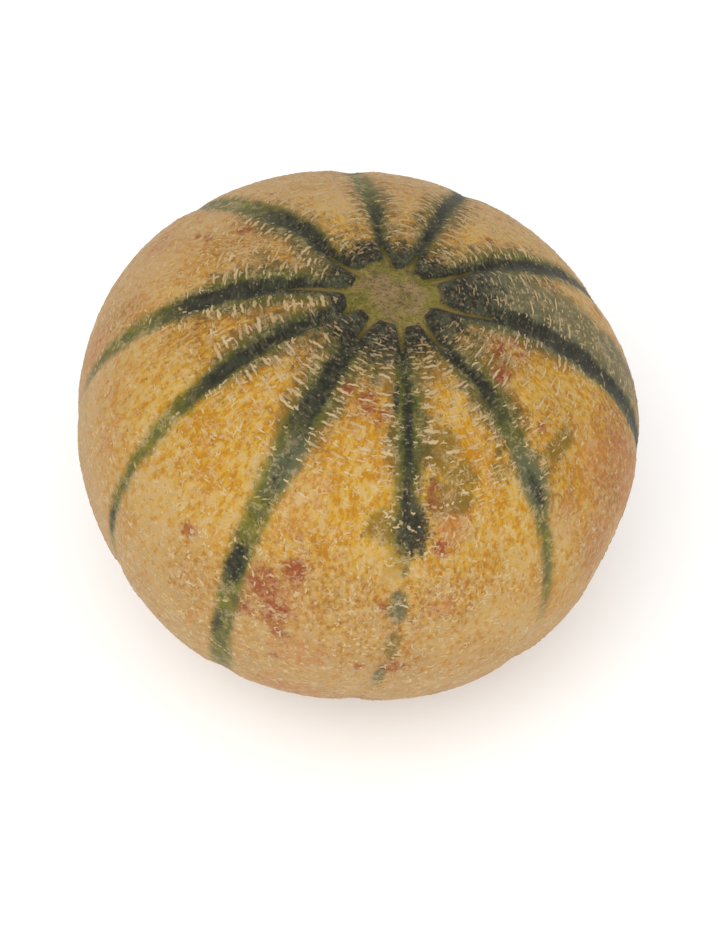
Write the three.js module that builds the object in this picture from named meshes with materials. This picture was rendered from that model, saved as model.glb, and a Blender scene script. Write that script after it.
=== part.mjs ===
// A ribbed cantaloupe melon of the Charentais kind: one whole fruit, resting on a small flat spot.
//
// Millimetres, +Z up. The origin is on the surface that the fruit rests on, under its middle. The stem end
// leans a little towards +X. The fruit is one solid. Its skin is a radius for each direction out of the
// fruit's centre: a flattened ball with ten ribs, the furrows between them, the star-shaped scar that the
// stem left, and the scar of the blossom underneath. Raised cork stands on the skin: short bars across the
// ribs round the stem end, and scattered crooked ticks on the rest.

import * as THREE from "three";
import { ConvexHull } from "three/addons/math/ConvexHull.js";

// ---------------------------------------------------------------- driving dimensions, in mm and degrees

const EQUATOR_RADIUS = 65;
const POLE_RADIUS = 54.5;
const LEAN = 9.8; // degrees, of the stem axis from upright, towards +X
const STAND = { x: -0.48, y: 0.07 }; // the stem axis's foot, which puts the whole evenly round the origin
const FLAT_SPOT = { depth: 1.2, edge: 0.3, radius: 9.5, reach: 12.6 }; // the skin is plain again past reach

// The furrows, anticlockwise seen from the stem end. azimuth is where a furrow crosses FURROW_COURSE.at,
// slope how many degrees it drifts for each 10 degrees of latitude, hook how far it swings as it enters the
// scar, and arm how far from the stem axis the scar's arm reaches along it. tip is where the rib after it
// ends, at the scar.
const FURROWS = [
  { azimuth: 29.0, slope: 1.0, hook: -2, arm: 21, tip: 7.9 },
  { azimuth: 67.9, slope: 0.2, hook: 0, arm: 14, tip: 7.8 },
  { azimuth: 98.2, slope: 0.7, hook: 2, arm: 16, tip: 10.3 },
  { azimuth: 136.2, slope: 1.1, hook: 9, arm: 19, tip: 10.3 },
  { azimuth: 178.8, slope: -0.4, hook: 2, arm: 27, tip: 12.3 },
  { azimuth: 206.5, slope: -0.8, hook: 3, arm: 14, tip: 9.6 },
  { azimuth: 238.8, slope: -0.8, hook: -1, arm: 16, tip: 8.6 },
  { azimuth: 275.4, slope: 0.4, hook: -2, arm: 15, tip: 9.1 },
  { azimuth: 313.0, slope: 0.8, hook: -8, arm: 17, tip: 8.2 },
  { azimuth: 356.6, slope: 0.2, hook: -7, arm: 23, tip: 10.2 },
];

const FURROW_COURSE = { at: 40, driftStops: -10, hookFrom: 60, hookTo: 76 }; // latitudes

const FURROW_DEPTH = 0.4;
const CROWN_DEPTH = { more: 0.8, reach: 20, spread: 14 }; // how much deeper they are round the stem end
const FURROW_WIDTH = 3.3; // from the furrow's line to where it has nearly run out, at the equator
const FURROW_WIDTH_AT_SCAR = 1.5;
const FURROW_WIDENS = { from: 8, to: 52 }; // mm from the stem axis
const RIB_SWELL = 0.4; // how far the middle of a rib stands out
const RIB_FLATNESS = 0.75; // under 1 for a rib that is flatter in its middle than a sine

// Where a furrow has its full depth and a rib its full swell, in mm from the stem axis.
const ABOVE = { ribFrom: 8, ribTo: 26, furrowFrom: 6, furrowTo: 13 };
const UNDERNEATH = { ribFrom: 5, ribTo: 40, furrowFrom: 8, furrowTo: 34 };

const STEM_HOLLOW = { depth: 1.7, radius: 15 };
const BLOSSOM_HOLLOW = { depth: 0.5, radius: 5 };
const BLOSSOM_SCAR = { radius: 4.2, width: 1.1, height: 0.35 };
const SCAR_STEP = 0.8; // from the rib tips down to the scar
const SCAR_EDGE = 0.7; // how softly they drop
const TIP_ROUNDING = 2.2; // how much further out a rib's tip ends at its sides than in its middle
const ARM_ROOT = { halfWidth: 1.15, reach: 9, taper: 0.35 }; // where an arm leaves the scar's disc
const VEIN = { height: 0.35, width: 0.6, from: 7, full: 10, fadesAt: 0.6 }; // raised, along each arm

// Where the fruit grew fuller or flatter than an even one: directions, the height there and its spread.
const SWELLS = [
  { azimuth: 150, latitude: 15, height: 1.1, spread: 20 },
  { azimuth: 5, latitude: 17, height: 1.0, spread: 17 },
  { azimuth: 335, latitude: 0, height: -1.3, spread: 13 },
  { azimuth: 88, latitude: 33, height: -0.9, spread: 24 },
  { azimuth: 238, latitude: -21, height: 0.8, spread: 13 },
  { azimuth: 200, latitude: -10, height: -0.6, spread: 14 },
];

// Slight waves all over the skin: a height, and a rate and a phase along each axis.
const WAVES = { height: 0.16, x: [7.3, 1.1], y: [6.1, 0.4], z: [8.7, 2] };
const SWELLS_FROM = 30; // mm from the stem axis, where the swells have their full height

// The raised cork. A crown bar lies across its rib in a row of bars, and a tick lies any way.
const CROWN = { from: 14, to: 46 }; // mm from the stem axis, along the skin
const CROWN_BAR = { length: 4.6, halfWidth: 0.55, height: 0.5, rowStep: 2.9, gap: 1.4, margin: 1.8 };
const LEAST_BAR = 2; // a shorter bar is left out
const BAR_TILT = 26; // degrees, between the two furthest tilts of a bar
const BARS_MISSING = { atScar: 0.06, more: 0.3 }; // the share that isn't there, growing down the rib
const TICK = { length: 7.5, halfWidth: 0.6, height: 0.45, bend: 1.5 };
const TICKS_ROUND_THE_FRUIT = 420;
const BARE_BELOW = 13; // mm round the blossom's scar without ticks
const CORK_CLEARANCE = 1.3; // between two pieces of cork
const SKIN_CLEARANCE = 1.5; // between a piece of cork and the plain skin's own points
const FURROW_CLEARANCE = 1.6; // between a piece of cork and a furrow's line
const LEAST_SPACING = 0.55; // between any two points of the skin

// ---------------------------------------------------------------- small helpers

const rad = THREE.MathUtils.degToRad;
const deg = THREE.MathUtils.radToDeg;
const clamp = THREE.MathUtils.clamp;

/** A smooth step from 0 at a to 1 at b. */
function ramp(x, a, b) {
  const t = clamp((x - a) / (b - a), 0, 1);
  return t * t * (3 - 2 * t);
}

/** A bell of height 1 at 0, and of width w. */
const bell = (x, w) => Math.exp(-((x / w) ** 2));

/** An angle in degrees, from -180 to 180. */
const wrap = (a) => ((((a + 180) % 360) + 360) % 360) - 180;

/** A repeatable draw from 0 to 1, for piece i and trait k. */
function draw(i, k) {
  const v = Math.sin(i * 12.9898 + k * 78.233) * 43758.5453;
  return v - Math.floor(v);
}

/** The unit vector at an azimuth and a latitude round the stem axis. */
function toward(azimuth, latitude) {
  const flat = Math.cos(rad(latitude));
  return new THREE.Vector3(
    flat * Math.cos(rad(azimuth)),
    flat * Math.sin(rad(azimuth)),
    Math.sin(rad(latitude)),
  );
}

// ---------------------------------------------------------------- the skin, as a radius for each direction

/** The azimuth of a furrow at a latitude. */
function furrowAzimuth(furrow, latitude) {
  const { at, driftStops, hookFrom, hookTo } = FURROW_COURSE;
  const drift = (furrow.slope * (Math.max(latitude, driftStops) - at)) / 10;
  return furrow.azimuth + drift + furrow.hook * ramp(latitude, hookFrom, hookTo);
}

/** Where a direction lies between its two furrows: the furrow before it, and the angles to both. */
function betweenFurrows(azimuth, latitude) {
  let best = null;
  FURROWS.forEach((furrow, i) => {
    const after = wrap(azimuth - furrowAzimuth(furrow, latitude));
    if (after >= 0 && (!best || after < best.after)) best = { i, after };
  });
  const next = FURROWS[(best.i + 1) % FURROWS.length];
  const before = wrap(furrowAzimuth(next, latitude) - azimuth);
  return { rib: best.i, after: best.after, before: before < 0 ? before + 360 : before };
}

/** The plain flattened ball's radius. */
function ballRadius(d) {
  const across = (d.x * d.x + d.y * d.y) / EQUATOR_RADIUS ** 2;
  return 1 / Math.sqrt(across + (d.z * d.z) / POLE_RADIUS ** 2);
}

/** How much the skin stands out, where the whole fruit is fuller, with slight waves all over. */
function fullness(d) {
  const wave = (x, [rate, phase]) => Math.sin(rate * x + phase);
  let height = WAVES.height * wave(d.x, WAVES.x) * wave(d.y, WAVES.y) * wave(d.z, WAVES.z);
  for (const s of SWELLS) {
    const away = deg(d.angleTo(toward(s.azimuth, s.latitude)));
    height += s.height * bell(away, s.spread);
  }
  return height;
}

/** Ribs and furrows. offset is the distance to the nearest furrow's line, reach to the stem axis. */
function ribRelief(share, offset, reach, isTop) {
  const { ribFrom, ribTo, furrowFrom, furrowTo } = isTop ? ABOVE : UNDERNEATH;
  const swell = RIB_SWELL * ramp(reach, ribFrom, ribTo) * Math.sin(Math.PI * share) ** RIB_FLATNESS;
  const widening = ramp(reach, FURROW_WIDENS.from, FURROW_WIDENS.to);
  const width = THREE.MathUtils.lerp(FURROW_WIDTH_AT_SCAR, FURROW_WIDTH, widening);
  const more = isTop ? CROWN_DEPTH.more * bell(reach - CROWN_DEPTH.reach, CROWN_DEPTH.spread) : 0;
  return swell - (FURROW_DEPTH + more) * ramp(reach, furrowFrom, furrowTo) * bell(offset, width);
}

/** How far from the stem axis a rib's tip ends, in its middle and, further out, at its sides. */
const tipReach = (tip, share) => tip + TIP_ROUNDING * (2 * share - 1) ** 4;

/** The scar of the stem: 1 on its disc and arms, 0 on the ribs, by the nearest furrow's arm. */
function scarShare(reach, offset, tipEnd, arm) {
  const armHalf = ARM_ROOT.halfWidth * Math.exp((ARM_ROOT.reach - reach) / (ARM_ROOT.taper * arm));
  const inDisc = (tipEnd - reach) / SCAR_EDGE;
  const inArm = reach < arm ? (armHalf - offset) / (0.6 * SCAR_EDGE) : -1;
  return ramp(Math.max(inDisc, inArm), -1, 1);
}

/** The skin's point in a direction, in the fruit's own frame: its centre at 0, the stem axis along +Z. */
function skinPoint(d, lift = 0) {
  const latitude = deg(Math.asin(clamp(d.z, -1, 1)));
  const azimuth = deg(Math.atan2(d.y, d.x));
  const ball = ballRadius(d);
  const reach = ball * Math.hypot(d.x, d.y);
  const { rib, after, before } = betweenFurrows(azimuth, latitude);
  const offset = reach * rad(Math.min(after, before));
  const share = after / (after + before);
  const near = FURROWS[after <= before ? rib : (rib + 1) % FURROWS.length];
  let height = fullness(d) * ramp(reach, 0, SWELLS_FROM) + ribRelief(share, offset, reach, d.z > 0);
  if (d.z > 0) {
    height -= STEM_HOLLOW.depth * bell(reach, STEM_HOLLOW.radius);
    height -= SCAR_STEP * scarShare(reach, offset, tipReach(FURROWS[rib].tip, share), near.arm);
    const vein = ramp(reach, VEIN.from, VEIN.full) * (1 - ramp(reach, VEIN.fadesAt * near.arm, near.arm));
    height += VEIN.height * vein * bell(offset, VEIN.width);
  } else {
    height -= BLOSSOM_HOLLOW.depth * bell(reach, BLOSSOM_HOLLOW.radius);
    height += BLOSSOM_SCAR.height * bell(reach - BLOSSOM_SCAR.radius, BLOSSOM_SCAR.width);
  }
  return onTheSurface(d.clone().multiplyScalar(ball + height + lift));
}

// ---------------------------------------------------------------- the flat spot

// The upright direction and the level one that the stem leans to, in the fruit's own frame.
const UP = new THREE.Vector3(-Math.sin(rad(LEAN)), 0, Math.cos(rad(LEAN)));
const LEVEL = new THREE.Vector3(Math.cos(rad(LEAN)), 0, Math.sin(rad(LEAN)));
const BALL_HEIGHT = Math.hypot(EQUATOR_RADIUS * Math.sin(rad(LEAN)), POLE_RADIUS * Math.cos(rad(LEAN)));
const CENTRE_HEIGHT = BALL_HEIGHT - FLAT_SPOT.depth;
const FLAT_CENTRE =
  ((EQUATOR_RADIUS ** 2 - POLE_RADIUS ** 2) * Math.sin(rad(2 * LEAN))) / (2 * BALL_HEIGHT);

/** Moves a point of the underside up to the surface that the fruit rests on. */
function onTheSurface(p) {
  const height = p.dot(UP) + CENTRE_HEIGHT;
  if (height >= FLAT_SPOT.edge) return p;
  const settled = height <= -FLAT_SPOT.edge ? 0 : (height + FLAT_SPOT.edge) ** 2 / (4 * FLAT_SPOT.edge);
  return p.addScaledVector(UP, settled - height);
}

/** The direction of a point of the resting surface, x and y mm from the middle of the flat spot. */
function towardFlat(x, y) {
  const p = new THREE.Vector3(0, y, 0);
  return p.addScaledVector(LEVEL, FLAT_CENTRE + x).addScaledVector(UP, -CENTRE_HEIGHT).normalize();
}

// ---------------------------------------------------------------- seeds: the directions that become vertices

// Where the plain skin has its rings of vertices: mm from the stem axis, mm beside a furrow's line, shares
// of the way across a rib, mm past a rib's tip, and degrees of latitude.
const DISC_RINGS = [3.2, 5.8];
const DISC_POINTS_PER_MM = 3.4;
const ARM_RINGS = [8.2, 9.6, 11, 12.6, 14.4, 16.6];
const ARM_FLANKS = [0.8, 1.7];
const TIP_SHARES = [0.2, 0.35, 0.5, 0.65, 0.8];
const TIP_STEPS = [-0.8, 0.1, 1, 2.6];
const BLOSSOM_RINGS = [1.7, 3.1, 4.2, 5.4, 7.6];
const CROWN_RINGS = [18.4, 20.8, 23.4, 26.2];
const CROWN_FLANKS = [1.7, 3.4];
const FURROW_ROW = { from: 18.2, to: 32, step: 1.9, latitudeStep: 3 };
const RIB_ROW = { flanks: [3.6], between: 3, step: 4.6 };
const LOW_RIB_ROW = { between: 2, step: 5 };
const ROWS = { highest: 58, low: -60, lowest: -74 };
const FLAT_RING_POINTS = [7, 15, 18];

/** The direction of the skin's point that lies east and north of another, in mm. */
function besides(d, east, north) {
  const p = d.clone().multiplyScalar(ballRadius(d));
  const e = new THREE.Vector3(-d.y, d.x, 0).normalize();
  const n = new THREE.Vector3().crossVectors(d, e);
  return p.addScaledVector(e, east).addScaledVector(n, north).normalize();
}

/** The latitude at which the plain ball is this far from the stem axis, on its top half. */
function latitudeAtReach(reach) {
  const t = Math.acos(clamp(reach / EQUATOR_RADIUS, 0, 1));
  return deg(Math.atan2(POLE_RADIUS * Math.sin(t), EQUATOR_RADIUS * Math.cos(t)));
}

/** The plain ball's distance from the stem axis, at a latitude. */
const reachAtLatitude = (latitude) => ballRadius(toward(0, latitude)) * Math.cos(rad(latitude));

/** A point of a rib at a latitude, some mm from its first furrow's line, or a share of the way across. */
function onRib(rib, latitude, { mm = 0, share = 0 }) {
  const start = furrowAzimuth(FURROWS[rib], latitude);
  const next = FURROWS[(rib + 1) % FURROWS.length];
  const width = (furrowAzimuth(next, latitude) - start + 360) % 360;
  return toward(start + deg(mm / reachAtLatitude(latitude)) + share * width, latitude);
}

/** A ring of points on the furrows' lines. */
const furrowRing = (latitude) => FURROWS.map((_, i) => onRib(i, latitude, {}));

/** A ring of points on both flanks of each furrow, and some between them. */
function ribRing(latitude, flanks, between) {
  const seeds = [];
  FURROWS.forEach((_, i) => {
    for (const mm of flanks) seeds.push(onRib(i, latitude, { mm }), onRib(i, latitude, { mm: -mm }));
    for (let k = 1; k <= between; k++) seeds.push(onRib(i, latitude, { share: k / (between + 1) }));
  });
  return seeds;
}

/** A ring of evenly spaced points round an axis. */
function evenRing(count, place) {
  return Array.from({ length: count }, (_, k) => place((2 * Math.PI * k) / count));
}

/** The flat spot and its soft edge. */
function flatSeeds() {
  const radii = [FLAT_SPOT.radius / 2, FLAT_SPOT.radius, FLAT_SPOT.reach];
  const ring = (r, i) =>
    evenRing(FLAT_RING_POINTS[i], (t) => towardFlat(r * Math.cos(t), r * Math.sin(t)));
  return [towardFlat(0, 0), ...radii.flatMap(ring)];
}

/** The scar of the stem: its disc, the rounded tips of the ribs, and the arms between them. */
function scarSeeds() {
  const seeds = [toward(0, 90)];
  for (const reach of DISC_RINGS) {
    const count = Math.round(DISC_POINTS_PER_MM * reach);
    seeds.push(...evenRing(count, (t) => toward(deg(t), latitudeAtReach(reach))));
  }
  for (const latitude of ARM_RINGS.map(latitudeAtReach))
    seeds.push(...furrowRing(latitude), ...ribRing(latitude, ARM_FLANKS, 0));
  FURROWS.forEach((furrow, i) => {
    for (const share of TIP_SHARES)
      for (const step of TIP_STEPS) {
        const latitude = latitudeAtReach(tipReach(furrow.tip, share) + step);
        seeds.push(onRib(i, latitude, { share }));
      }
  });
  return seeds;
}

/** The scar of the blossom, under the fruit. */
function blossomSeeds() {
  const seeds = [toward(0, -90)];
  for (const reach of BLOSSOM_RINGS) {
    const count = Math.round(3 * reach) + 4;
    seeds.push(...evenRing(count, (t) => toward(deg(t + reach), -latitudeAtReach(reach))));
  }
  return seeds;
}

/** The furrows' lines, from the stem's scar down to the blossom's. */
function furrowSeeds() {
  const seeds = [];
  const { from, to, step, latitudeStep } = FURROW_ROW;
  for (let reach = from; reach < to; reach += step) seeds.push(...furrowRing(latitudeAtReach(reach)));
  for (let latitude = ROWS.highest; latitude > ROWS.lowest; latitude -= latitudeStep)
    seeds.push(...furrowRing(latitude));
  return seeds;
}

/** The ribs, from the stem's scar down to the blossom's. */
function ribSeeds() {
  const seeds = [];
  for (const latitude of CROWN_RINGS.map(latitudeAtReach))
    seeds.push(...ribRing(latitude, CROWN_FLANKS, 1));
  for (let latitude = ROWS.highest; latitude > ROWS.low; latitude -= RIB_ROW.step)
    seeds.push(...ribRing(latitude, RIB_ROW.flanks, RIB_ROW.between));
  for (let latitude = ROWS.low; latitude > ROWS.lowest; latitude -= LOW_RIB_ROW.step)
    seeds.push(...ribRing(latitude, [], LOW_RIB_ROW.between));
  return seeds;
}

// The course of a tick, as shares of its length and of its bend.
const TICK_BENT = [
  [-0.5, -0.6],
  [-0.28, 0],
  [0, 0.5],
  [0.28, 0],
  [0.5, -0.6],
];
const TICK_STRAIGHT = [
  [-0.5, -0.4],
  [-0.22, 0.3],
  [0.22, 0.3],
  [0.5, -0.4],
];

/** One piece of cork: a ridge along a line of points, in mm east and north of a direction. */
function corkSeeds({ d, line, halfWidth, height }) {
  const seeds = [];
  const inner = line.slice(1, -1);
  seeds.push({ d: besides(d, ...line[0]), lift: 0 }, { d: besides(d, ...line.at(-1)), lift: 0 });
  inner.forEach(([x, y], i) => {
    const [ax, ay] = line[i];
    const [bx, by] = line[i + 2];
    const long = Math.hypot(bx - ax, by - ay);
    const side = [(-halfWidth * (by - ay)) / long, (halfWidth * (bx - ax)) / long];
    seeds.push({ d: besides(d, x, y), lift: height });
    seeds.push({ d: besides(d, x + side[0], y + side[1]), lift: 0 });
    seeds.push({ d: besides(d, x - side[0], y - side[1]), lift: 0 });
  });
  return seeds;
}

/** The bars across the ribs round the stem end: rows of them in each rib. */
function crownBars() {
  const bars = [];
  const rows = Math.floor((CROWN.to - CROWN.from) / CROWN_BAR.rowStep);
  FURROWS.forEach((_, rib) => {
    for (let row = 0; row < rows; row++) {
      const arc = CROWN.from + CROWN_BAR.rowStep * (row + 0.5 * draw(rib * 40 + row, 1));
      const latitude = latitudeAtReach(EQUATOR_RADIUS * Math.sin(arc / EQUATOR_RADIUS));
      const first = onRib(rib, latitude, {});
      const last = onRib((rib + 1) % FURROWS.length, latitude, {});
      const room = ballRadius(first) * first.angleTo(last) - 2 * CROWN_BAR.margin;
      const count = Math.max(1, Math.round(room / (CROWN_BAR.length + CROWN_BAR.gap)));
      const cell = room / count;
      for (let k = 0; k < count; k++) {
        const id = rib * 400 + row * 10 + k;
        const length = Math.min(cell - CROWN_BAR.gap * 0.7, CROWN_BAR.length * (0.7 + 0.5 * draw(id, 2)));
        const isMissing = draw(id, 3) < BARS_MISSING.atScar + BARS_MISSING.more * (row / rows);
        if (length < LEAST_BAR || isMissing) continue;
        const middle = CROWN_BAR.margin + cell * (k + 0.5) + 0.6 * (draw(id, 4) - 0.5);
        const tilt = rad(BAR_TILT * (draw(id, 5) - 0.5));
        const half = [(length / 2) * Math.cos(tilt), (length / 2) * Math.sin(tilt)];
        const line = [-1, -0.5, 0.5, 1].map((s) => [s * half[0], s * half[1]]);
        bars.push({ ...CROWN_BAR, d: onRib(rib, latitude, { mm: middle }), line });
      }
    }
  });
  return bars;
}

/** The crooked ticks on the rest of the fruit, on an even spiral of directions. */
function scatteredTicks() {
  const ticks = [];
  const turn = 180 * (3 - Math.sqrt(5));
  for (let i = 0; i < TICKS_ROUND_THE_FRUIT; i++) {
    const level = 1 - (2 * i + 1) / TICKS_ROUND_THE_FRUIT;
    const d = toward(i * turn, deg(Math.asin(level)) + 3 * (draw(i, 6) - 0.5));
    const p = d.clone().multiplyScalar(ballRadius(d));
    const arc = EQUATOR_RADIUS * Math.asin(Math.min(1, Math.hypot(p.x, p.y) / EQUATOR_RADIUS));
    const isTooClose = arc < (d.z > 0 ? CROWN.to + 1 : BARE_BELOW);
    if (isTooClose || d.angleTo(towardFlat(0, 0)) * ballRadius(d) < FLAT_SPOT.reach + 5) continue;
    const length = TICK.length * (0.7 + 0.45 * draw(i, 7));
    const heading = Math.PI * draw(i, 8);
    const bend = TICK.bend * (2 * draw(i, 9) - 1);
    const steps = draw(i, 10) < 0.6 ? TICK_BENT : TICK_STRAIGHT;
    const line = steps.map(([s, b]) => [
      s * length * Math.cos(heading) - b * bend * Math.sin(heading),
      s * length * Math.sin(heading) + b * bend * Math.cos(heading),
    ]);
    ticks.push({ ...TICK, d, line });
  }
  return ticks;
}

/** Is a direction at least this many mm of skin from all the others? */
function isClear(d, others, mm) {
  const near = 1 - (mm / ballRadius(d)) ** 2 / 2;
  return others.every((o) => d.dot(o) < near);
}

/** How many mm of skin lie between a direction and the nearest furrow's line. */
function furrowOffset(d) {
  const { after, before } = betweenFurrows(deg(Math.atan2(d.y, d.x)), deg(Math.asin(d.z)));
  return ballRadius(d) * Math.hypot(d.x, d.y) * rad(Math.min(after, before));
}

/** All the vertices: the cork where it fits, the lines that carry the form, then the plain skin's rest. */
function allSeeds() {
  const cork = [];
  const taken = [];
  const isFree = (d) => isClear(d, taken, CORK_CLEARANCE) && furrowOffset(d) > FURROW_CLEARANCE;
  for (const piece of [...crownBars(), ...scatteredTicks()]) {
    const seeds = corkSeeds(piece);
    if (!seeds.every((s) => isFree(s.d))) continue;
    cork.push(...seeds);
    taken.push(...seeds.map((s) => s.d));
  }
  const plain = [];
  const keep = (seeds, corkGap) => {
    for (const d of seeds)
      if (isClear(d, taken, corkGap) && isClear(d, plain, LEAST_SPACING)) plain.push(d);
  };
  const flatRim = FLAT_SPOT.reach + 1.5;
  const offFlat = (d) => d.angleTo(towardFlat(0, 0)) * ballRadius(d) > flatRim;
  keep(flatSeeds(), LEAST_SPACING);
  keep(furrowSeeds().filter(offFlat), LEAST_SPACING);
  keep(scarSeeds(), SKIN_CLEARANCE / 2);
  keep(blossomSeeds().filter(offFlat), SKIN_CLEARANCE);
  keep(ribSeeds().filter(offFlat), SKIN_CLEARANCE);
  return [...cork, ...plain.map((d) => ({ d, lift: 0 }))];
}

// ---------------------------------------------------------------- the fruit

/** The closed surface through all the vertices: the hull of their directions says which are neighbours. */
function melonGeometry() {
  const seeds = allSeeds();
  const place = new Map(seeds.map((s) => [s.d, skinPoint(s.d, s.lift)]));
  const positions = [];
  for (const face of new ConvexHull().setFromPoints(seeds.map((s) => s.d)).faces) {
    let edge = face.edge;
    do {
      positions.push(...place.get(edge.head().point).toArray());
      edge = edge.next;
    } while (edge !== face.edge);
  }
  const geometry = new THREE.BufferGeometry();
  geometry.setAttribute("position", new THREE.Float32BufferAttribute(positions, 3));
  geometry.computeVertexNormals();
  return geometry;
}

const rind = new THREE.MeshStandardMaterial({ color: 0xc99a45, roughness: 0.62, metalness: 0 });
const melon = new THREE.Mesh(melonGeometry(), rind);
melon.name = "melon";

const fruit = new THREE.Group();
fruit.rotation.y = rad(LEAN);
fruit.position.set(STAND.x, STAND.y, CENTRE_HEIGHT);
fruit.add(melon);

const part = new THREE.Group();
part.add(fruit);

export default part;
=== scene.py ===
"""A ripe, ribbed cantaloupe melon of the Charentais kind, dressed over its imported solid.

Metres, +Z up. The rind is a fine mesh of the same skin as the solid's: a radius for each direction out of the
fruit's middle. The raised cork stands on it as small ridges, and the colours are procedural.
"""

import logging
import math
from dataclasses import dataclass, field, replace
from enum import Enum
from typing import Callable, Iterator, Mapping, Sequence, Union

import bmesh
import bpy
import numpy as np
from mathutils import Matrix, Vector


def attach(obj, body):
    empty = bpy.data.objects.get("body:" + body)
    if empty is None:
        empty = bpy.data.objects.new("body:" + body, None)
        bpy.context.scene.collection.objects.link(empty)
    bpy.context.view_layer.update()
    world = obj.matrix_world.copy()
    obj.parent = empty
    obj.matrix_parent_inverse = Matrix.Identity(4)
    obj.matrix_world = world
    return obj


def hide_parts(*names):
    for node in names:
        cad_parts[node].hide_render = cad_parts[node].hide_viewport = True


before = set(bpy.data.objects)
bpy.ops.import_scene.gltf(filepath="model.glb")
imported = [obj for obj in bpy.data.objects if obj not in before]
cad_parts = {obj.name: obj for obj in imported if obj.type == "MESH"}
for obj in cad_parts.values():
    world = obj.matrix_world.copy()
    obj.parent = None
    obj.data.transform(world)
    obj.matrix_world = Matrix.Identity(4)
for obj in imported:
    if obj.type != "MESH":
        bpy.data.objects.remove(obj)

Array = np.ndarray
Socket = bpy.types.NodeSocket
Mesh = bpy.types.Mesh
Pair = tuple[float, float]
Triple = tuple[float, float, float]
Colour = tuple[float, float, float, float]

LOG = logging.getLogger("melon")
MM = 0.001
SCATTER = (12.9898, 78.233, 43758.5453)
FAR = 99
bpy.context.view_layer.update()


# ---- small helpers


def ramp(x: Array, low: float, high: float) -> Array:
    """A smooth step from 0 at low to 1 at high."""
    t = np.clip((x - low) / (high - low), 0, 1)
    return t * t * (3 - 2 * t)


def bell(x: Array, width: float) -> Array:
    """A bell of height 1 at 0, and of this width."""
    return np.exp(-((x / width) ** 2))


def wrapped(angle: Array) -> Array:
    """An angle in degrees, from -180 to 180."""
    return (angle + 180) % 360 - 180


def draw(index: Union[int, Array], trait: int) -> Array:
    """A repeatable draw from 0 to 1, for piece number index and trait number trait."""
    by_index, by_trait, spread = SCATTER
    value = np.sin(np.asarray(index) * by_index + trait * by_trait) * spread
    return value - np.floor(value)


def sway(index: Union[int, Array], trait: int) -> Array:
    """A repeatable draw from -0.5 to 0.5."""
    return draw(index, trait) - 0.5


def toward(azimuth: Array, latitude: Array) -> Array:
    """The unit vectors at azimuths and latitudes, in degrees, round the stem axis."""
    azimuth, latitude = np.radians(azimuth), np.radians(latitude)
    flat = np.cos(latitude)
    return np.stack([flat * np.cos(azimuth), flat * np.sin(azimuth), np.sin(latitude) + 0 * azimuth], axis=-1)


def unit(v: Array) -> Array:
    """Vectors at length 1."""
    return v / np.linalg.norm(v, axis=-1, keepdims=True)


def compass(d: Array) -> tuple[Array, Array]:
    """The unit vectors east and north of directions."""
    east = unit(np.stack([-d[..., 1], d[..., 0], 0 * d[..., 0]], axis=-1))
    return east, np.cross(d, east)


# ---- the skin


@dataclass(frozen=True)
class Furrow:
    """One furrow, and the dark stripe in it. Angles in degrees, lengths in mm.

    azimuth is where it crosses latitude 40, slope its drift for each 10 degrees of latitude, hook its swing
    as it enters the scar, arm how far from the stem axis the scar's arm reaches, and tip where the next rib
    ends. core and halo are the half-width of the dark stripe and how far its green edge reaches past it; low
    is their share of that at the equator, and dark_to and green_to are the latitudes at which they have
    faded. specks is how much of the fine cork lies on the stripe.
    """

    azimuth: float
    slope: float
    hook: float
    arm: float
    tip: float
    core: float
    halo: float
    low: float
    dark_to: float
    green_to: float
    specks: float = 0.15


@dataclass(frozen=True)
class Rib:
    """What one rib looks like: shade is how many mm past its tip it is dark, moss how olive it is round the
    stem end, bold how broad its cork bars are, and net how much of the fine cork grows on it."""

    shade: float
    moss: float
    bold: float
    net: float


@dataclass(frozen=True)
class Swell:
    """A place where the fruit grew fuller, or flatter: degrees, and mm of height."""

    azimuth: float
    latitude: float
    height: float
    spread: float


@dataclass(frozen=True)
class Nearest:
    """Where directions lie between their furrows: the rib's number, the near furrow's number, the share of
    the way across the rib, and the mm to the near furrow's line."""

    rib: Array
    furrow: Array
    share: Array
    offset: Array


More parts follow.
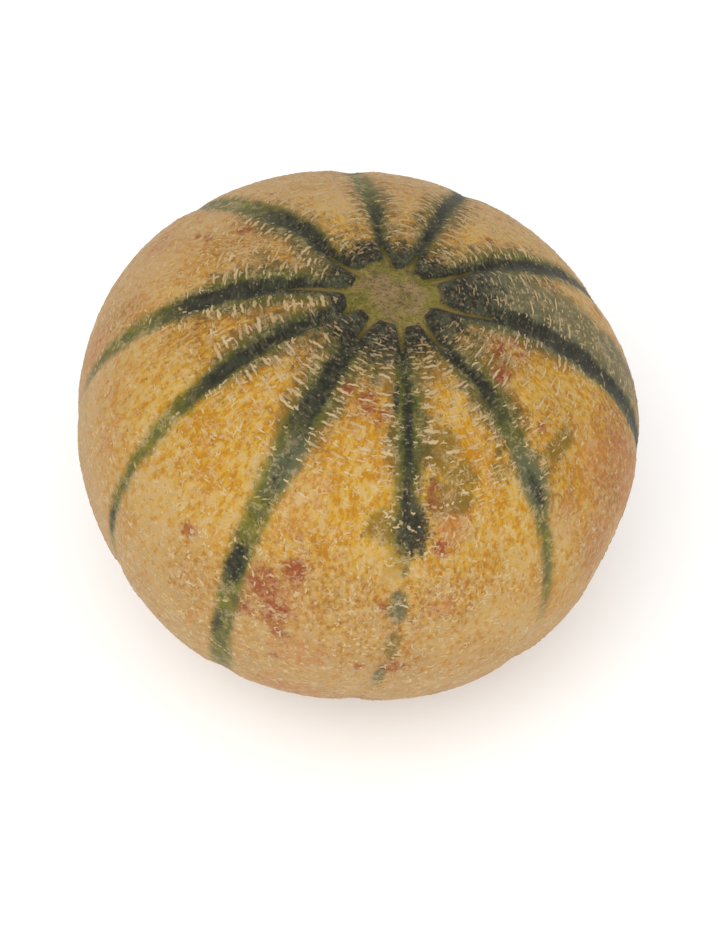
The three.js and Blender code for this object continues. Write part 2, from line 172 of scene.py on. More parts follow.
@dataclass(frozen=True)
class Skin:
    """The fruit's outer surface, in mm in its own frame, with the stem axis along +Z.

    The hollows are a depth and a spread. The starts and ends of ribs and furrows are where they begin and
    where they are full, by their distance from the stem axis, and hooks_at is by latitude. crown_at is where
    the furrows are deeper near the stem, and its spread. arm_root is the half-width of the scar's arms, where
    they have it and how fast they taper, and vein the height and spread of the line along each.
    """

    equator_radius: float = 65.0
    pole_radius: float = 54.5
    lean: float = 9.8
    flat_depth: float = 1.2
    flat_edge: float = 0.3
    stand: Pair = (-0.48, 0.07)
    furrow_depth: float = 0.4
    crown_depth: float = 0.8
    crown_at: Pair = (20, 14)
    straight_below: float = -10
    hooks_at: Pair = (60, 76)
    furrow_width: float = 3.3
    furrow_width_at_scar: float = 1.5
    furrow_widens: Pair = (8, 52)
    furrow_start: Pair = (6, 13)
    furrow_end: Pair = (8, 34)
    rib_swell: float = 0.4
    rib_start: Pair = (8, 26)
    rib_end: Pair = (5, 40)
    wave_height: float = 0.16
    stem_hollow: Pair = (1.7, 15)
    blossom_hollow: Pair = (0.5, 5)
    blossom_scar: Triple = (4.2, 1.1, 0.35)
    scar_step: float = 0.8
    scar_edge: float = 0.7
    tip_rounding: float = 2.2
    arm_root: Triple = (1.15, 9, 0.35)
    vein: Pair = (0.35, 0.6)
    furrows: tuple[Furrow, ...] = (
        Furrow(29, 1, -2, 21, 7.9, 2.1, 2, 0.5, 24, 0),
        Furrow(67.9, 0.2, 0, 14, 7.8, 1.6, 1.3, 0.8, 22, 0),
        Furrow(98.2, 0.7, 2, 16, 10.3, 1.5, 1.4, 0.8, 57, 0),
        Furrow(136.2, 1.1, 9, 19, 10.3, 2.3, 1.4, 0.8, 47, 4),
        Furrow(178.8, -0.4, 2, 27, 12.3, 2.6, 1.4, 0.45, 36, 6),
        Furrow(206.5, -0.8, 3, 14, 9.6, 2, 1, 0.55, 36, -9, 0.08),
        Furrow(238.8, -0.8, -1, 16, 8.6, 2.6, 1.3, 0.75, 47, -22),
        Furrow(275.4, 0.4, -2, 15, 9.1, 1.2, 1.8, 0.9, 31, 29, 1.2),
        Furrow(313, 0.8, -8, 17, 8.2, 1.8, 1.2, 0.5, 52, 6, 0.3),
        Furrow(356.6, 0.2, -7, 23, 10.2, 2.8, 1.6, 0.75, 6, -8, 0.1),
    )
    ribs: tuple[Rib, ...] = (
        Rib(13, 1, 0.7, 0.6), Rib(13, 0.9, 0.6, 0.9), Rib(10, 0.7, 0.75, 1), Rib(12, 1.4, 0.85, 1),
        Rib(8, 1.4, 1, 0.9), Rib(20, 1.1, 0.85, 1), Rib(18, 1.25, 0.8, 1), Rib(14, 1.2, 0.9, 1),
        Rib(16, 1.2, 0.7, 0.35), Rib(24, 1.1, 0.5, 0.4),
    )
    swells: tuple[Swell, ...] = (
        Swell(150, 15, 1.1, 20),
        Swell(5, 17, 1.0, 17),
        Swell(335, 0, -1.3, 13),
        Swell(88, 33, -0.9, 24),
        Swell(238, -21, 0.8, 13),
        Swell(200, -10, -0.6, 14),
    )

    @property
    def up(self) -> Array:
        """The upright direction, in the fruit's own frame."""
        lean = math.radians(self.lean)
        return np.array([-math.sin(lean), 0, math.cos(lean)])

    @property
    def centre_height(self) -> float:
        """The height of the fruit's middle above the surface that it rests on."""
        aside, _, upward = self.up
        return math.hypot(self.equator_radius * aside, self.pole_radius * upward) - self.flat_depth

    def azimuths(self, furrow: Furrow, latitude: Array) -> Array:
        """The azimuth of a furrow at latitudes."""
        drift = furrow.slope * (np.maximum(latitude, self.straight_below) - 40) / 10
        return furrow.azimuth + drift + furrow.hook * ramp(latitude, *self.hooks_at)

    def ball(self, d: Array) -> Array:
        """The plain flattened ball's radius."""
        across = (d[..., 0] ** 2 + d[..., 1] ** 2) / self.equator_radius**2
        return 1 / np.sqrt(across + d[..., 2] ** 2 / self.pole_radius**2)

    def angles(self, d: Array) -> tuple[Array, Array]:
        """The azimuths and latitudes of directions, in degrees."""
        return np.degrees(np.arctan2(d[..., 1], d[..., 0])), np.degrees(np.arcsin(np.clip(d[..., 2], -1, 1)))

    def reach(self, d: Array) -> Array:
        """The plain ball's distance from the stem axis, in mm."""
        return self.ball(d) * np.hypot(d[..., 0], d[..., 1])

    def nearest(self, d: Array) -> Nearest:
        """Where directions lie between their furrows."""
        azimuth, latitude = self.angles(d)
        after = np.stack([wrapped(azimuth - self.azimuths(f, latitude)) % 360 for f in self.furrows])
        before = np.stack([wrapped(self.azimuths(f, latitude) - azimuth) % 360 for f in self.furrows])
        rib = after.argmin(0)
        gap_after, gap_before = after.min(0), before.min(0)
        furrow = np.where(gap_after <= gap_before, rib, before.argmin(0))
        offset = self.reach(d) * np.radians(np.minimum(gap_after, gap_before))
        return Nearest(rib, furrow, gap_after / (gap_after + gap_before), offset)

    def of_rib(self, index: Array, trait: str) -> Array:
        """One trait of each numbered rib."""
        return np.array([getattr(rib, trait) for rib in self.ribs])[index]

    def of_furrow(self, index: Array, trait: str) -> Array:
        """One trait of each numbered furrow."""
        return np.array([getattr(furrow, trait) for furrow in self.furrows])[index]

    def fullness(self, d: Array) -> Array:
        """How much the skin stands out, where the whole fruit is fuller, with slight waves all over."""
        waves = np.sin(7.3 * d[..., 0] + 1.1) * np.sin(6.1 * d[..., 1] + 0.4) * np.sin(8.7 * d[..., 2] + 2)
        height = self.wave_height * waves
        for s in self.swells:
            away = np.degrees(np.arccos(np.clip(d @ toward(s.azimuth, s.latitude), -1, 1)))
            height = height + s.height * bell(away, s.spread)
        return height

    def rib_relief(self, near: Nearest, reach: Array, is_top: Array) -> Array:
        """The height of the ribs and furrows, which start near the stem and end near the blossom scar."""
        full = np.where(is_top, ramp(reach, *self.rib_start), ramp(reach, *self.rib_end))
        swell = self.rib_swell * full * np.sin(np.pi * near.share) ** 0.75
        narrow = self.furrow_width_at_scar
        width = narrow + (self.furrow_width - narrow) * ramp(reach, *self.furrow_widens)
        middle, spread = self.crown_at
        depth = self.furrow_depth + np.where(is_top, self.crown_depth * bell(reach - middle, spread), 0)
        start = np.where(is_top, ramp(reach, *self.furrow_start), ramp(reach, *self.furrow_end))
        return swell - depth * start * bell(near.offset, width)

    def tip_reach(self, near: Nearest) -> Array:
        """How far from the stem axis a rib's tip ends, in its middle and, further out, at its sides."""
        return self.of_furrow(near.rib, "tip") + self.tip_rounding * (2 * near.share - 1) ** 4

    def scar_share(self, near: Nearest, reach: Array) -> Array:
        """The scar of the stem: 1 on its disc and arms, 0 on the ribs."""
        arm = self.of_furrow(near.furrow, "arm")
        half_width, root, taper = self.arm_root
        half = half_width * np.exp((root - reach) / (taper * arm))
        in_disc = (self.tip_reach(near) - reach) / self.scar_edge
        in_arm = np.where(reach < arm, (half - near.offset) / (0.6 * self.scar_edge), -1)
        return ramp(np.maximum(in_disc, in_arm), -1, 1)

    def shaded(self, d: Array) -> Array:
        """How dark the rib's tip is: 1 at the scar's edge of it, and 0 where the shade has faded."""
        near = self.nearest(d)
        past_tip = np.where(d[..., 2] > 0, self.reach(d) - self.tip_reach(near), FAR)
        return 1 - ramp(past_tip / self.of_rib(near.rib, "shade"), 0.1, 1.0)

    def veins(self, near: Nearest, reach: Array) -> Array:
        """The thin raised line along each arm: 1 on its crest."""
        arm = self.of_furrow(near.furrow, "arm")
        fade = 1 - np.clip((reach - 0.6 * arm) / (0.4 * arm), 0, 1)
        return ramp(reach, 7, 10) * fade * fade * (3 - 2 * fade) * bell(near.offset, self.vein[1])

    def settle(self, p: Array) -> Array:
        """Points moved up to the surface that the fruit rests on, where they would pass it."""
        height = p @ self.up + self.centre_height
        soft = np.where(height <= -self.flat_edge, 0, (height + self.flat_edge) ** 2 / (4 * self.flat_edge))
        lifted = np.where(height >= self.flat_edge, height, soft)
        return p + (lifted - height)[..., None] * self.up

    def points(self, d: Array, lift: Union[float, Array] = 0.0) -> Array:
        """The skin's points in unit directions, in the fruit's own frame.

        Args:
            d: unit vectors, in the last axis.
            lift: how far above the skin each point is, in mm.

        Returns:
            The points, in mm.
        """
        is_top = d[..., 2] > 0
        reach = self.reach(d)
        near = self.nearest(d)
        height = self.fullness(d) * ramp(reach, 0, 30) + self.rib_relief(near, reach, is_top)
        top = -self.stem_hollow[0] * bell(reach, self.stem_hollow[1])
        top = top - self.scar_step * self.scar_share(near, reach) + self.vein[0] * self.veins(near, reach)
        radius, width, rim = self.blossom_scar
        depth, spread = self.blossom_hollow
        below = rim * bell(reach - radius, width) - depth * bell(reach, spread)
        height = height + np.where(is_top, top, below)
        return self.settle(d * (self.ball(d) + height + lift)[..., None])

    def normals(self, d: Array, tilt: Array) -> Array:
        """The skin's outward directions in the model's frame, each tilted east and north by some share."""
        step = 0.004
        east, north = compass(d)
        corners = (d, unit(d + step * east), unit(d + step * north))
        here, aside, above = (self.placed(self.points(corner)) for corner in corners)
        out = unit(np.cross(aside - here, above - here))
        return unit(out + tilt[..., :1] * unit(aside - here) + tilt[..., 1:] * unit(above - here))

    def placed(self, p: Array) -> Array:
        """Points of the fruit's own frame in the frame of the model, in metres."""
        aside, _, upward = self.up
        x = p[..., 0] * upward - p[..., 2] * aside + self.stand[0]
        return np.stack([x, p[..., 1] + self.stand[1], p @ self.up + self.centre_height], axis=-1) * MM

    def latitude_at(self, reach: float) -> float:
        """The latitude at which the plain ball is this far from the stem axis, on its top half."""
        t = math.acos(min(1, reach / self.equator_radius))
        return math.degrees(math.atan2(self.pole_radius * math.sin(t), self.equator_radius * math.cos(t)))

    def beside(self, d: Array, east: Array, north: Array) -> Array:
        """The directions of the skin's points that lie east and north of others, in mm."""
        e, n = compass(d)
        return unit(d * self.ball(d)[..., None] + e * east[..., None] + n * north[..., None])

    def on_rib(self, rib: int, latitude: float, mm: float) -> Array:
        """A direction on a rib at a latitude, some mm from its first furrow's line."""
        reach = float(self.reach(toward(0, latitude)))
        start = float(self.azimuths(self.furrows[rib], latitude))
        return toward(start + math.degrees(mm / reach), latitude)

    def across(self, rib: int, arc: float) -> Pair:
        """The latitude some mm along the skin from the stem, and the rib's width in mm there."""
        latitude = self.latitude_at(self.equator_radius * math.sin(arc / self.equator_radius))
        first = self.on_rib(rib, latitude, 0)
        last = self.on_rib((rib + 1) % len(self.furrows), latitude, 0)
        return latitude, float(self.ball(first)) * math.acos(first @ last)


SKIN = Skin()


# ---- shader maths


def linear(red: int, green: int, blue: int) -> Colour:
    """A colour given by its screen values, 0 to 255, as a shader's."""
    parts = [c / 255 for c in (red, green, blue)]
    curve = [c / 12.92 if c <= 0.04045 else ((c + 0.055) / 1.055) ** 2.4 for c in parts]
    return (*curve, 1.0)


def math_method(operation: str, is_reflected: bool = False) -> Callable[["Value", "Term"], "Value"]:
    """A method that adds one Math node on a Value and another term, which comes first if is_reflected."""

    def method(value: "Value", other: "Term") -> "Value":
        """Adds the node."""
        terms = (other, value) if is_reflected else (value, other)
        made = value.bench.make("ShaderNodeMath", {"operation": operation}, dict(enumerate(terms)))
        return Value(value.bench, made.outputs[0])

    return method


class Value:
    """A number over the surface. Arithmetic on it adds Math nodes, and most takes the larger of two."""

    __add__ = __radd__ = math_method("ADD")
    __mul__ = __rmul__ = math_method("MULTIPLY")
    __sub__ = math_method("SUBTRACT")
    __rsub__ = math_method("SUBTRACT", is_reflected=True)
    most = math_method("MAXIMUM")

    def __init__(self, bench: "Bench", socket: Socket) -> None:
        """Keeps the node tree and the output that carries the number."""
        self.bench = bench
        self.socket = socket

    def ramp(self, low: "Term", high: "Term") -> "Value":
        """A smooth step from 0 at low to 1 at high."""
        sockets = {"Value": self, "From Min": low, "From Max": high}
        made = self.bench.make("ShaderNodeMapRange", {"interpolation_type": "SMOOTHSTEP"}, sockets)
        return Value(self.bench, made.outputs[0])


Term = Union[Value, float, int]


class Bench:
    """A material's node tree, with one way to add any node."""

    def __init__(self, name: str) -> None:
        """Starts a material with its Principled shader."""
        self.material = bpy.data.materials.new(name)
        self.material.use_nodes = True
        self.tree = self.material.node_tree
        self.shader = self.tree.nodes["Principled BSDF"]

    def make(self, kind: str, settings: Mapping, sockets: Mapping) -> bpy.types.Node:
        """Adds one node.

        Args:
            kind: the node's type.
            settings: what is set on the node itself, before its sockets.
            sockets: a number, a colour, a Value or another node's output for each named or numbered input.

        Returns:
            The node.
        """
        node = self.tree.nodes.new(kind)
        for name, setting in settings.items():
            setattr(node, name, setting)
        for key, given in sockets.items():
            self.feed(node.inputs[key], given)
        return node

    def feed(self, target: Socket, given: object) -> None:
        """Links an output to an input, or sets the input to a number or a colour."""
        given = given.socket if isinstance(given, Value) else given
        if isinstance(given, Socket):
            self.tree.links.new(given, target)
        else:
            target.default_value = given

    def hold(self, constants: Mapping[str, object]) -> None:
        """Sets inputs of the shader to numbers or colours."""
        for name, constant in constants.items():
            self.shader.inputs[name].default_value = constant

    def attribute(self, name: str) -> bpy.types.Node:
        """The node that reads one of the mesh's attributes."""
        return self.make("ShaderNodeAttribute", {"attribute_name": name}, {})

    def field(self, name: str) -> Value:
        """A number that the mesh carries."""
        return Value(self, self.attribute(name).outputs["Fac"])

    def place(self) -> Socket:
        """The place in the object, in metres."""
        return self.make("ShaderNodeTexCoord", {}, {}).outputs["Object"]

    def scaled(self, vector: Socket, by: Sequence[float]) -> Socket:
        """A vector stretched along each axis."""
        sockets = {0: vector, 1: tuple(by)}
        return self.make("ShaderNodeVectorMath", {"operation": "MULTIPLY"}, sockets).outputs[0]

    def grown(self, by: Sequence[float]) -> Socket:
        """The place round and along the fruit as it grew, stretched along each axis."""
        return self.scaled(self.attribute("grown").outputs["Vector"], by)

    def noise(self, at: Socket, scale: float, detail: float, rough: float = 0.5, warp: float = 0) -> Value:
        """Cloudy noise, about 0.5 on average."""
        sockets = {"Vector": at, "Scale": scale, "Detail": detail, "Roughness": rough, "Distortion": warp}
        return Value(self, self.make("ShaderNodeTexNoise", {}, sockets).outputs[0])

    def cells(self, at: Socket, scale: float) -> Value:
        """The distance to the nearest cell's point."""
        made = self.make("ShaderNodeTexVoronoi", {}, {"Vector": at, "Scale": scale})
        return Value(self, made.outputs["Distance"])

    def mix(self, share: Term, first: object, second: object) -> Socket:
        """A colour between two others, by a share from 0 to 1."""
        settings = {"data_type": "RGBA", "clamp_factor": True}
        return self.make("ShaderNodeMix", settings, {0: share, 6: first, 7: second}).outputs[2]

    def layered(self, colour: object, *layers: tuple[Term, object]) -> Socket:
        """A colour with others laid over it in turn, each by its share."""
        for share, other in layers:
            colour = self.mix(share, colour, other)
        return colour

    def dress(self, colour: object, roughness: Term, height: Value, strength: float, depth: float) -> None:
        """Feeds the shader its colour, its roughness and a bump."""
        bump = self.make("ShaderNodeBump", {}, {"Height": height, "Strength": strength, "Distance": depth})
        self.feed(self.shader.inputs["Base Color"], colour)
        self.feed(self.shader.inputs["Roughness"], roughness)
        self.feed(self.shader.inputs["Normal"], bump.outputs[0])


# ---- marks on the rind


class Stain(Enum):
    """What a mark on the rind looks like. The value is the name of the field that carries it."""

    RUST = "rust"
    OLIVE = "olive"
    DARK = "dark"
    BLUSH = "blush"
    SLATE = "slate"
    GLOW = "glow"
    STRAW = "straw"
    SOIL = "soil"


@dataclass(frozen=True)
class Mark:
    """One mark: its place in degrees, its radius in mm, its strength, and its stretch along the rib."""

    azimuth: float
    latitude: float
    radius: float
    strength: float = 1.0
    stretch: float = 1.0

    def share(self, d: Array) -> Array:
        """How strongly the mark covers directions: 0.5 on its rim, 1 well inside."""
        middle = toward(self.azimuth, self.latitude)
        east, north = compass(middle)
        away = np.hypot(d @ east, d @ north / self.stretch) * SKIN.ball(middle)
        return np.clip(self.strength * (1.5 - away / self.radius), 0, self.strength) * (d @ middle > 0)


MARKS = {
    Stain.RUST: (
        Mark(228.2, 17.2, 2.4), Mark(252.6, 21.4, 3.3), Mark(246.8, 16, 5.2, 0.9),
        Mark(250.9, 11, 4.4, 0.9), Mark(252.3, 6.6, 3, 0.8), Mark(244.6, 8.4, 3.2, 0.85),
        Mark(276, -19, 3.6, 0.8, 0.6), Mark(262, -22, 3.2, 0.7, 0.5), Mark(290, -17, 3, 0.65, 0.6),
        Mark(325.6, 59.1, 2.5), Mark(335, 63.5, 2.4, 0.9), Mark(340, 58.5, 1.7, 0.8),
        Mark(342.5, 60.7, 1.8, 0.9), Mark(44.9, 57.4, 1.2, 0.9), Mark(60.2, 45, 1.3, 0.9),
        Mark(52, 38, 1.6, 0.8), Mark(324.5, 44.8, 1.5), Mark(284.1, 29.8, 2.3),
        Mark(282.9, 41, 2.2, 0.7, 1.7), Mark(257.8, 59.4, 3, 0.9), Mark(264.9, 57, 2.2),
        Mark(247, 60.9, 2.2, 0.85), Mark(148.7, 48.3, 1.9, 0.9), Mark(152.1, 40.7, 1.7, 0.8),
        Mark(272.2, 17, 1.6, 0.8), Mark(276.9, 0.7, 3.2, 0.8), Mark(20, 30, 2, 0.8),
        Mark(112, 12, 2.6, 0.8), Mark(84, -8, 3.2, 0.7), Mark(190, -24, 2.4, 0.8),
    ),
    Stain.DARK: (
        Mark(197.5, 55.5, 0.9, 0.6, 3), Mark(253, 71.6, 2.2, 0.9, 1.3), Mark(270.5, 62, 0.75, 0.95, 4.5),
        Mark(277.6, 34, 4.2, 0.9, 1.6), Mark(277, 45, 3.6, 0.5, 2.4), Mark(240.2, 37, 1.8, 0.5, 6),
        Mark(313.4, 34, 1.9, 0.75, 2.6), Mark(240.4, 16.8, 2.6, 0.95, 2.4), Mark(240.6, 0, 1.5, 0.75, 3.6),
        Mark(209.3, 0, 1.3, 0.8, 4),
    ),
    Stain.SLATE: (
        Mark(240.8, 41, 3.1, 1, 2.4), Mark(274.8, -3, 1.5, 0.65, 3.2), Mark(275.4, 8, 1.1, 0.5, 2.6),
        Mark(277.6, 34, 3.6, 0.6, 1.6), Mark(275.7, 17, 2.1, 0.9, 2.1), Mark(276.2, 26, 1.1, 0.6, 3),
        Mark(9, 66, 8, 1.3, 1.6), Mark(7, 50, 8.5, 1.2, 2), Mark(5, 30, 6.5, 1.1, 2.4),
        Mark(3, 10, 4.5, 0.9, 2.4), Mark(313.6, 37, 3.7, 1, 2.2), Mark(310.5, 18, 1.6, 0.5, 3),
    ),
    Stain.OLIVE: (
        Mark(286.6, 50, 4.6, 1, 1.5), Mark(284.5, 41, 3.6, 0.9, 1.6), Mark(291.6, 43.6, 4.6, 0.9),
        Mark(290.3, 39, 3.8, 1.1, 0.8), Mark(270, 34.5, 4.4), Mark(326.4, 39, 6, 1, 0.5),
        Mark(330, 62, 4, 0.9), Mark(318, 36.5, 4.6, 0.7, 0.5), Mark(304.6, 42.5, 3.2, 0.8),
        Mark(160.9, 56.5, 2.6, 0.9), Mark(274.6, 17.5, 1.7, 0.95, 2.2), Mark(275.8, 7, 2, 0.9, 2.8),
        Mark(275, -3, 1.7, 0.8, 3.2),
    ),
    Stain.BLUSH: (
        Mark(152.4, 24.9, 5, 0.7), Mark(174.2, 11.1, 6, 0.7, 1.5), Mark(344, 14, 8, 0.9, 2.6),
        Mark(336, -6, 6, 0.8), Mark(258, 2, 9, 0.7, 0.6), Mark(262, -17, 17, 0.75, 0.4),
        Mark(296, -14, 12, 0.6, 0.5), Mark(285, 17, 4, 0.7), Mark(287, 36, 5, 0.8, 1.4),
        Mark(335, 29, 7, 0.7, 1.6), Mark(328, 12, 8, 0.75, 1.5), Mark(251, 14, 8, 0.6),
        Mark(60, -20, 14, 0.6),
    ),
    Stain.STRAW: (
        Mark(317, 24, 6, 0.8), Mark(248, 36, 5, 0.5, 1.6), Mark(220, 6, 9, 0.5, 1.2),
    ),
    Stain.GLOW: (
        Mark(256.5, 47, 9, 0.7, 1.4), Mark(291, 53, 5.5, 1.5, 1.4), Mark(219, 31, 6, 0.7, 1.6),
        Mark(227, 33, 4, 0.5, 2), Mark(231.5, 51, 4, 1, 1.5), Mark(338, 34, 6, 1.8, 1.6),
        Mark(326, 37, 7, 1.1, 1.6), Mark(335, 16, 8, 1, 1.6), Mark(324, 50, 5), Mark(213, 49, 5, 1.2),
        Mark(191, 42, 7, 0.7), Mark(250, 25, 6, 0.5), Mark(160, 40, 7, 0.5),
    ),
    Stain.SOIL: (
        Mark(256, 17.5, 12, 0.75), Mark(244, 12, 8, 0.7), Mark(267, 17, 9, 0.8), Mark(277, 15, 8),
        Mark(286, 18, 9, 0.8), Mark(295, 22, 7, 0.5), Mark(270, 4, 10, 0.5, 0.8), Mark(347, 26, 8, 1.2),
        Mark(337, 19, 9, 1.1), Mark(328, 13, 9, 0.9), Mark(321, 33, 6, 0.7, 1.4), Mark(210, 62, 7, 0.7),
        Mark(331, 43, 7, 0.6), Mark(157, 51, 8), Mark(188, 44, 8), Mark(198, 54, 7, 1.2),
        Mark(160, 60, 6, 0.9), Mark(217, 67, 6, 0.8), Mark(173, 20, 8, 0.6), Mark(340, 61, 7, 1.4),
        Mark(250, 58, 5, 0.6), Mark(287, 34.5, 6, 0.9), Mark(233, 9, 8, 0.6), Mark(278, 3, 7, 0.7),
        Mark(348, 22, 7, 0.8, 1.8), Mark(60, 5, 18, 0.5), Mark(100, -15, 16, 0.6), Mark(20, -20, 14, 0.5),
        Mark(150, -12, 15, 0.6),
    ),
}


def covered(d: Array, stain: Stain) -> Array:
    """How strongly the marks of one stain cover directions."""
    return np.max([mark.share(d) for mark in MARKS[stain]], axis=0)


# ---- finishes


@dataclass(frozen=True)
class Clouds:
    """The noises that the rind's layers share: the mottles, and three that average 0, from coarse to fine."""

    mottle: Value
    wander: Value
    loose: Value
    fray: Value


@dataclass(frozen=True)
class RindFinish:
    """The rind: amber and tan mottles, green stripes in the furrows, rust and olive marks, the stem's scar,
    and dry cork on the crests of the ridges."""

    amber: Colour = linear(171, 122, 14)
    honey: Colour = linear(175, 138, 50)
    tan: Colour = linear(178, 145, 84)
    deep: Colour = linear(147, 88, 20)
    # The duller tan of the painted sheen on the sides, and of the band round the lower middle.
    cream: Colour = linear(180, 156, 118)
    dusty: Colour = linear(170, 137, 99)
    earthy: Colour = linear(148, 122, 84)
    soil: Colour = linear(130, 86, 34)
    rust: Colour = linear(122, 52, 28)
    blush: Colour = linear(156, 94, 54)
    olive: Colour = linear(98, 78, 20)
    umber: Colour = linear(102, 72, 30)
    moss: Colour = linear(70, 68, 28)
    leaf: Colour = linear(61, 68, 30)
    lime: Colour = linear(89, 92, 28)
    night: Colour = linear(26, 26, 21)
    slate: Colour = linear(78, 81, 58)
    sage: Colour = linear(125, 115, 51)
    fawn: Colour = linear(140, 115, 80)
    lichen: Colour = linear(92, 88, 24)
    bark: Colour = linear(66, 56, 34)
    stalk: Colour = linear(84, 78, 30)
    # The colour of the lines along the arms, and of the painted highlight on the scar's rim.
    vein: Colour = linear(126, 104, 58)
    pale: Colour = linear(172, 151, 113)
    buff: Colour = linear(184, 162, 121)
    shade: Colour = linear(160, 128, 84)
    mottle_stretch: Triple = (1, 1, 0.78)
    dash_stretch: Triple = (15, 15, 95)
    fibre_stretch: Triple = (1, 1.5, 1)

    def clouds(self, bench: Bench) -> Clouds:
        """The shared noises."""
        place = bench.place()
        return Clouds(
            mottle=bench.noise(bench.grown(self.mottle_stretch), 36, 3, 0.55, 0.3),
            wander=bench.noise(place, 170, 2) - 0.5,
            loose=bench.noise(place, 420, 5, 0.75) - 0.5,
            fray=bench.noise(place, 1200, 4, 0.7) - 0.5,
        )

    def mottled(self, bench: Bench, mottle: Value) -> Socket:
        """The ripe ground colour: mottles that run along the ribs, on broader changes, a painted sheen of
        duller tan, partly ruddy, on the sides that turn from the camera, and the same tone in a band round
        the lower middle.
        """
        along = bench.grown(self.mottle_stretch)
        broad = bench.noise(bench.place(), 75, 3, 0.55)
        second = bench.noise(along, 62, 2, 0.55)
        patch = mottle + (broad - 0.5) * 0.7 + bench.field("glow") * 0.08
        # pale holds the painted sheen on the sides, the band below and the straw marks; ruddy lays blush over
        # the same painted sheen and band.
        pale = bench.field("dust").most(bench.field("straw"))
        ruddy = bench.noise(along, 150, 4, 0.7).ramp(0.5, 0.66) * bench.field("dust")
        return bench.layered(
            self.tan,
            (patch.ramp(0.36, 0.52), self.honey),
            (patch.ramp(0.44, 0.65), self.amber),
            ((patch * second).ramp(0.26, 0.34) * 0.44, self.deep),
            (pale * (0.58 - (second - 0.5) * 2.6), self.dusty),
            (ruddy * 0.5, self.blush),
            (bench.field("soil") * (0.5 + (second - 0.5) * 3.2), self.soil),
            (bench.field("low") * (0.42 - (mottle - 0.5) * 2.6), self.earthy),
        )

    def stained(self, bench: Bench, colour: Socket, clouds: Clouds) -> Socket:
        """The blush, olive and rust marks, freckles, and the shade round the stem end."""
        place = bench.place()
        freckles = (1 - bench.cells(place, 85).ramp(0.05, 0.2)) * bench.noise(place, 60, 2).ramp(0.46, 0.58)
        rust = bench.field("rust").most(freckles * 0.75) + clouds.loose * 2.4 + clouds.fray
        wash = bench.field("wash") + clouds.loose * 2.4 + clouds.fray
        return bench.layered(
            colour,
            ((bench.field("blush") + clouds.loose * 1.6).ramp(0.2, 1) * 0.6, self.blush),
            ((bench.field("olive") + clouds.loose * 1.8).ramp(0.2, 1) * 0.8, self.olive),
            (wash.ramp(0.15, 0.85) * 0.75, self.umber),
            ((wash + clouds.wander * 1.4).ramp(0.55, 1.25) * 0.85, self.moss),
            (rust.ramp(0.2, 1.15) * 0.85, self.rust),
        )

    def striped(self, bench: Bench, colour: Socket, clouds: Clouds) -> tuple[Socket, Value]:
        """The stripes in the furrows, near-black with ragged green edges, and how dark each place is."""
        edge = bench.field("furrow") + clouds.fray * 2.3 + clouds.wander * 2.4 + clouds.loose * 2.3
        past_core = edge - bench.field("core")
        green = bench.field("green") * (1 - (past_core - bench.field("halo")).ramp(-1.8, 1.2))
        stripe = bench.mix((clouds.mottle + clouds.loose * 1.5).ramp(0.35, 0.65), self.leaf, self.lime)
        slate = (bench.field("slate") + clouds.loose * 1.3).ramp(0.1, 0.9)
        spots = (bench.field("dark") + clouds.loose * 1.8 + clouds.fray * 1.2).ramp(0.25, 0.95)
        night = (bench.field("night") * (1 - past_core.ramp(-1.1, 1.1))).most(spots)
        bloom = bench.noise(bench.place(), 330, 4, 0.75).ramp(0.43, 0.62) * (0.26 + spots * 0.2)
        layers = (green * 0.9, stripe), (slate * 0.85, self.slate), (night * 0.96, self.night)
        return bench.layered(colour, *layers, (night * bloom, self.slate)), night

    def specked(self, bench: Bench, colour: Socket, loose: Value, night: Value) -> Socket:
        """The finest cork, too small to stand out: pale flecks everywhere, and dashes across the ribs."""
        place = bench.place()
        crooked = bench.noise(place, 620, 2, 0.5, 0.3) - 0.5
        broad = bench.noise(place, 330, 3, 0.6, 0.6) - 0.5
        thin_lines = 1 - (crooked * crooked).ramp(0.0002, 0.002)
        broad_lines = (1 - (broad * broad).ramp(0, 0.0026)) * 0.9
        broken = bench.noise(place, 360, 3, 0.6)
        lines = thin_lines.most(broad_lines) * broken.ramp(0.46, 0.6) * (0.8 - night * 0.8)
        specks = (1 - bench.cells(place, 900).ramp(0.12, 0.36)) * (broken + loose).ramp(0.44, 0.6)
        across = bench.noise(bench.grown(self.dash_stretch), 1, 1).ramp(0.54, 0.62)
        dashes = across * bench.field("crown") * (loose * 3 + 0.35)
        bare = 1 - bench.field("scar").ramp(0.1, 0.5)
        share = lines.most(specks).most(dashes) * bare
        return bench.mix(share * (0.5 - night * 0.22), colour, self.cream)

    def scarred(self, bench: Bench, colour: Socket, fibres: Value) -> Socket:
        """The stem's scar: fibrous sage, fawn and dark brown, with paler lines along its arms and a painted
        highlight along one side of its rim.
        """
        place = bench.place()
        hue = bench.noise(place, 200, 5, 0.75, 0.8)
        disc = bench.layered(
            self.sage,
            ((hue + bench.field("pith") * 0.1).ramp(0.47, 0.63), self.fawn),
            (bench.noise(place, 150, 5, 0.8).ramp(0.5, 0.64) * 0.85, self.lichen),
            (bench.noise(place, 130, 4, 0.6, 1).ramp(0.54, 0.66) * 0.45, self.bark),
            (fibres.ramp(0.58, 0.36) * 0.95, self.bark),
            (bench.field("arm") * 0.9, self.stalk),
        )
        ragged = bench.field("scar") + (hue - 0.5) * 1.6 + (fibres - 0.5) * 0.8
        # vein carries the pale lines along the arms and the painted highlight on one side of the scar's rim.
        vein = bench.field("vein") * (fibres * 1.4 + 0.15)
        return bench.layered(colour, (ragged.ramp(0.3, 0.85), disc), (vein, self.vein))

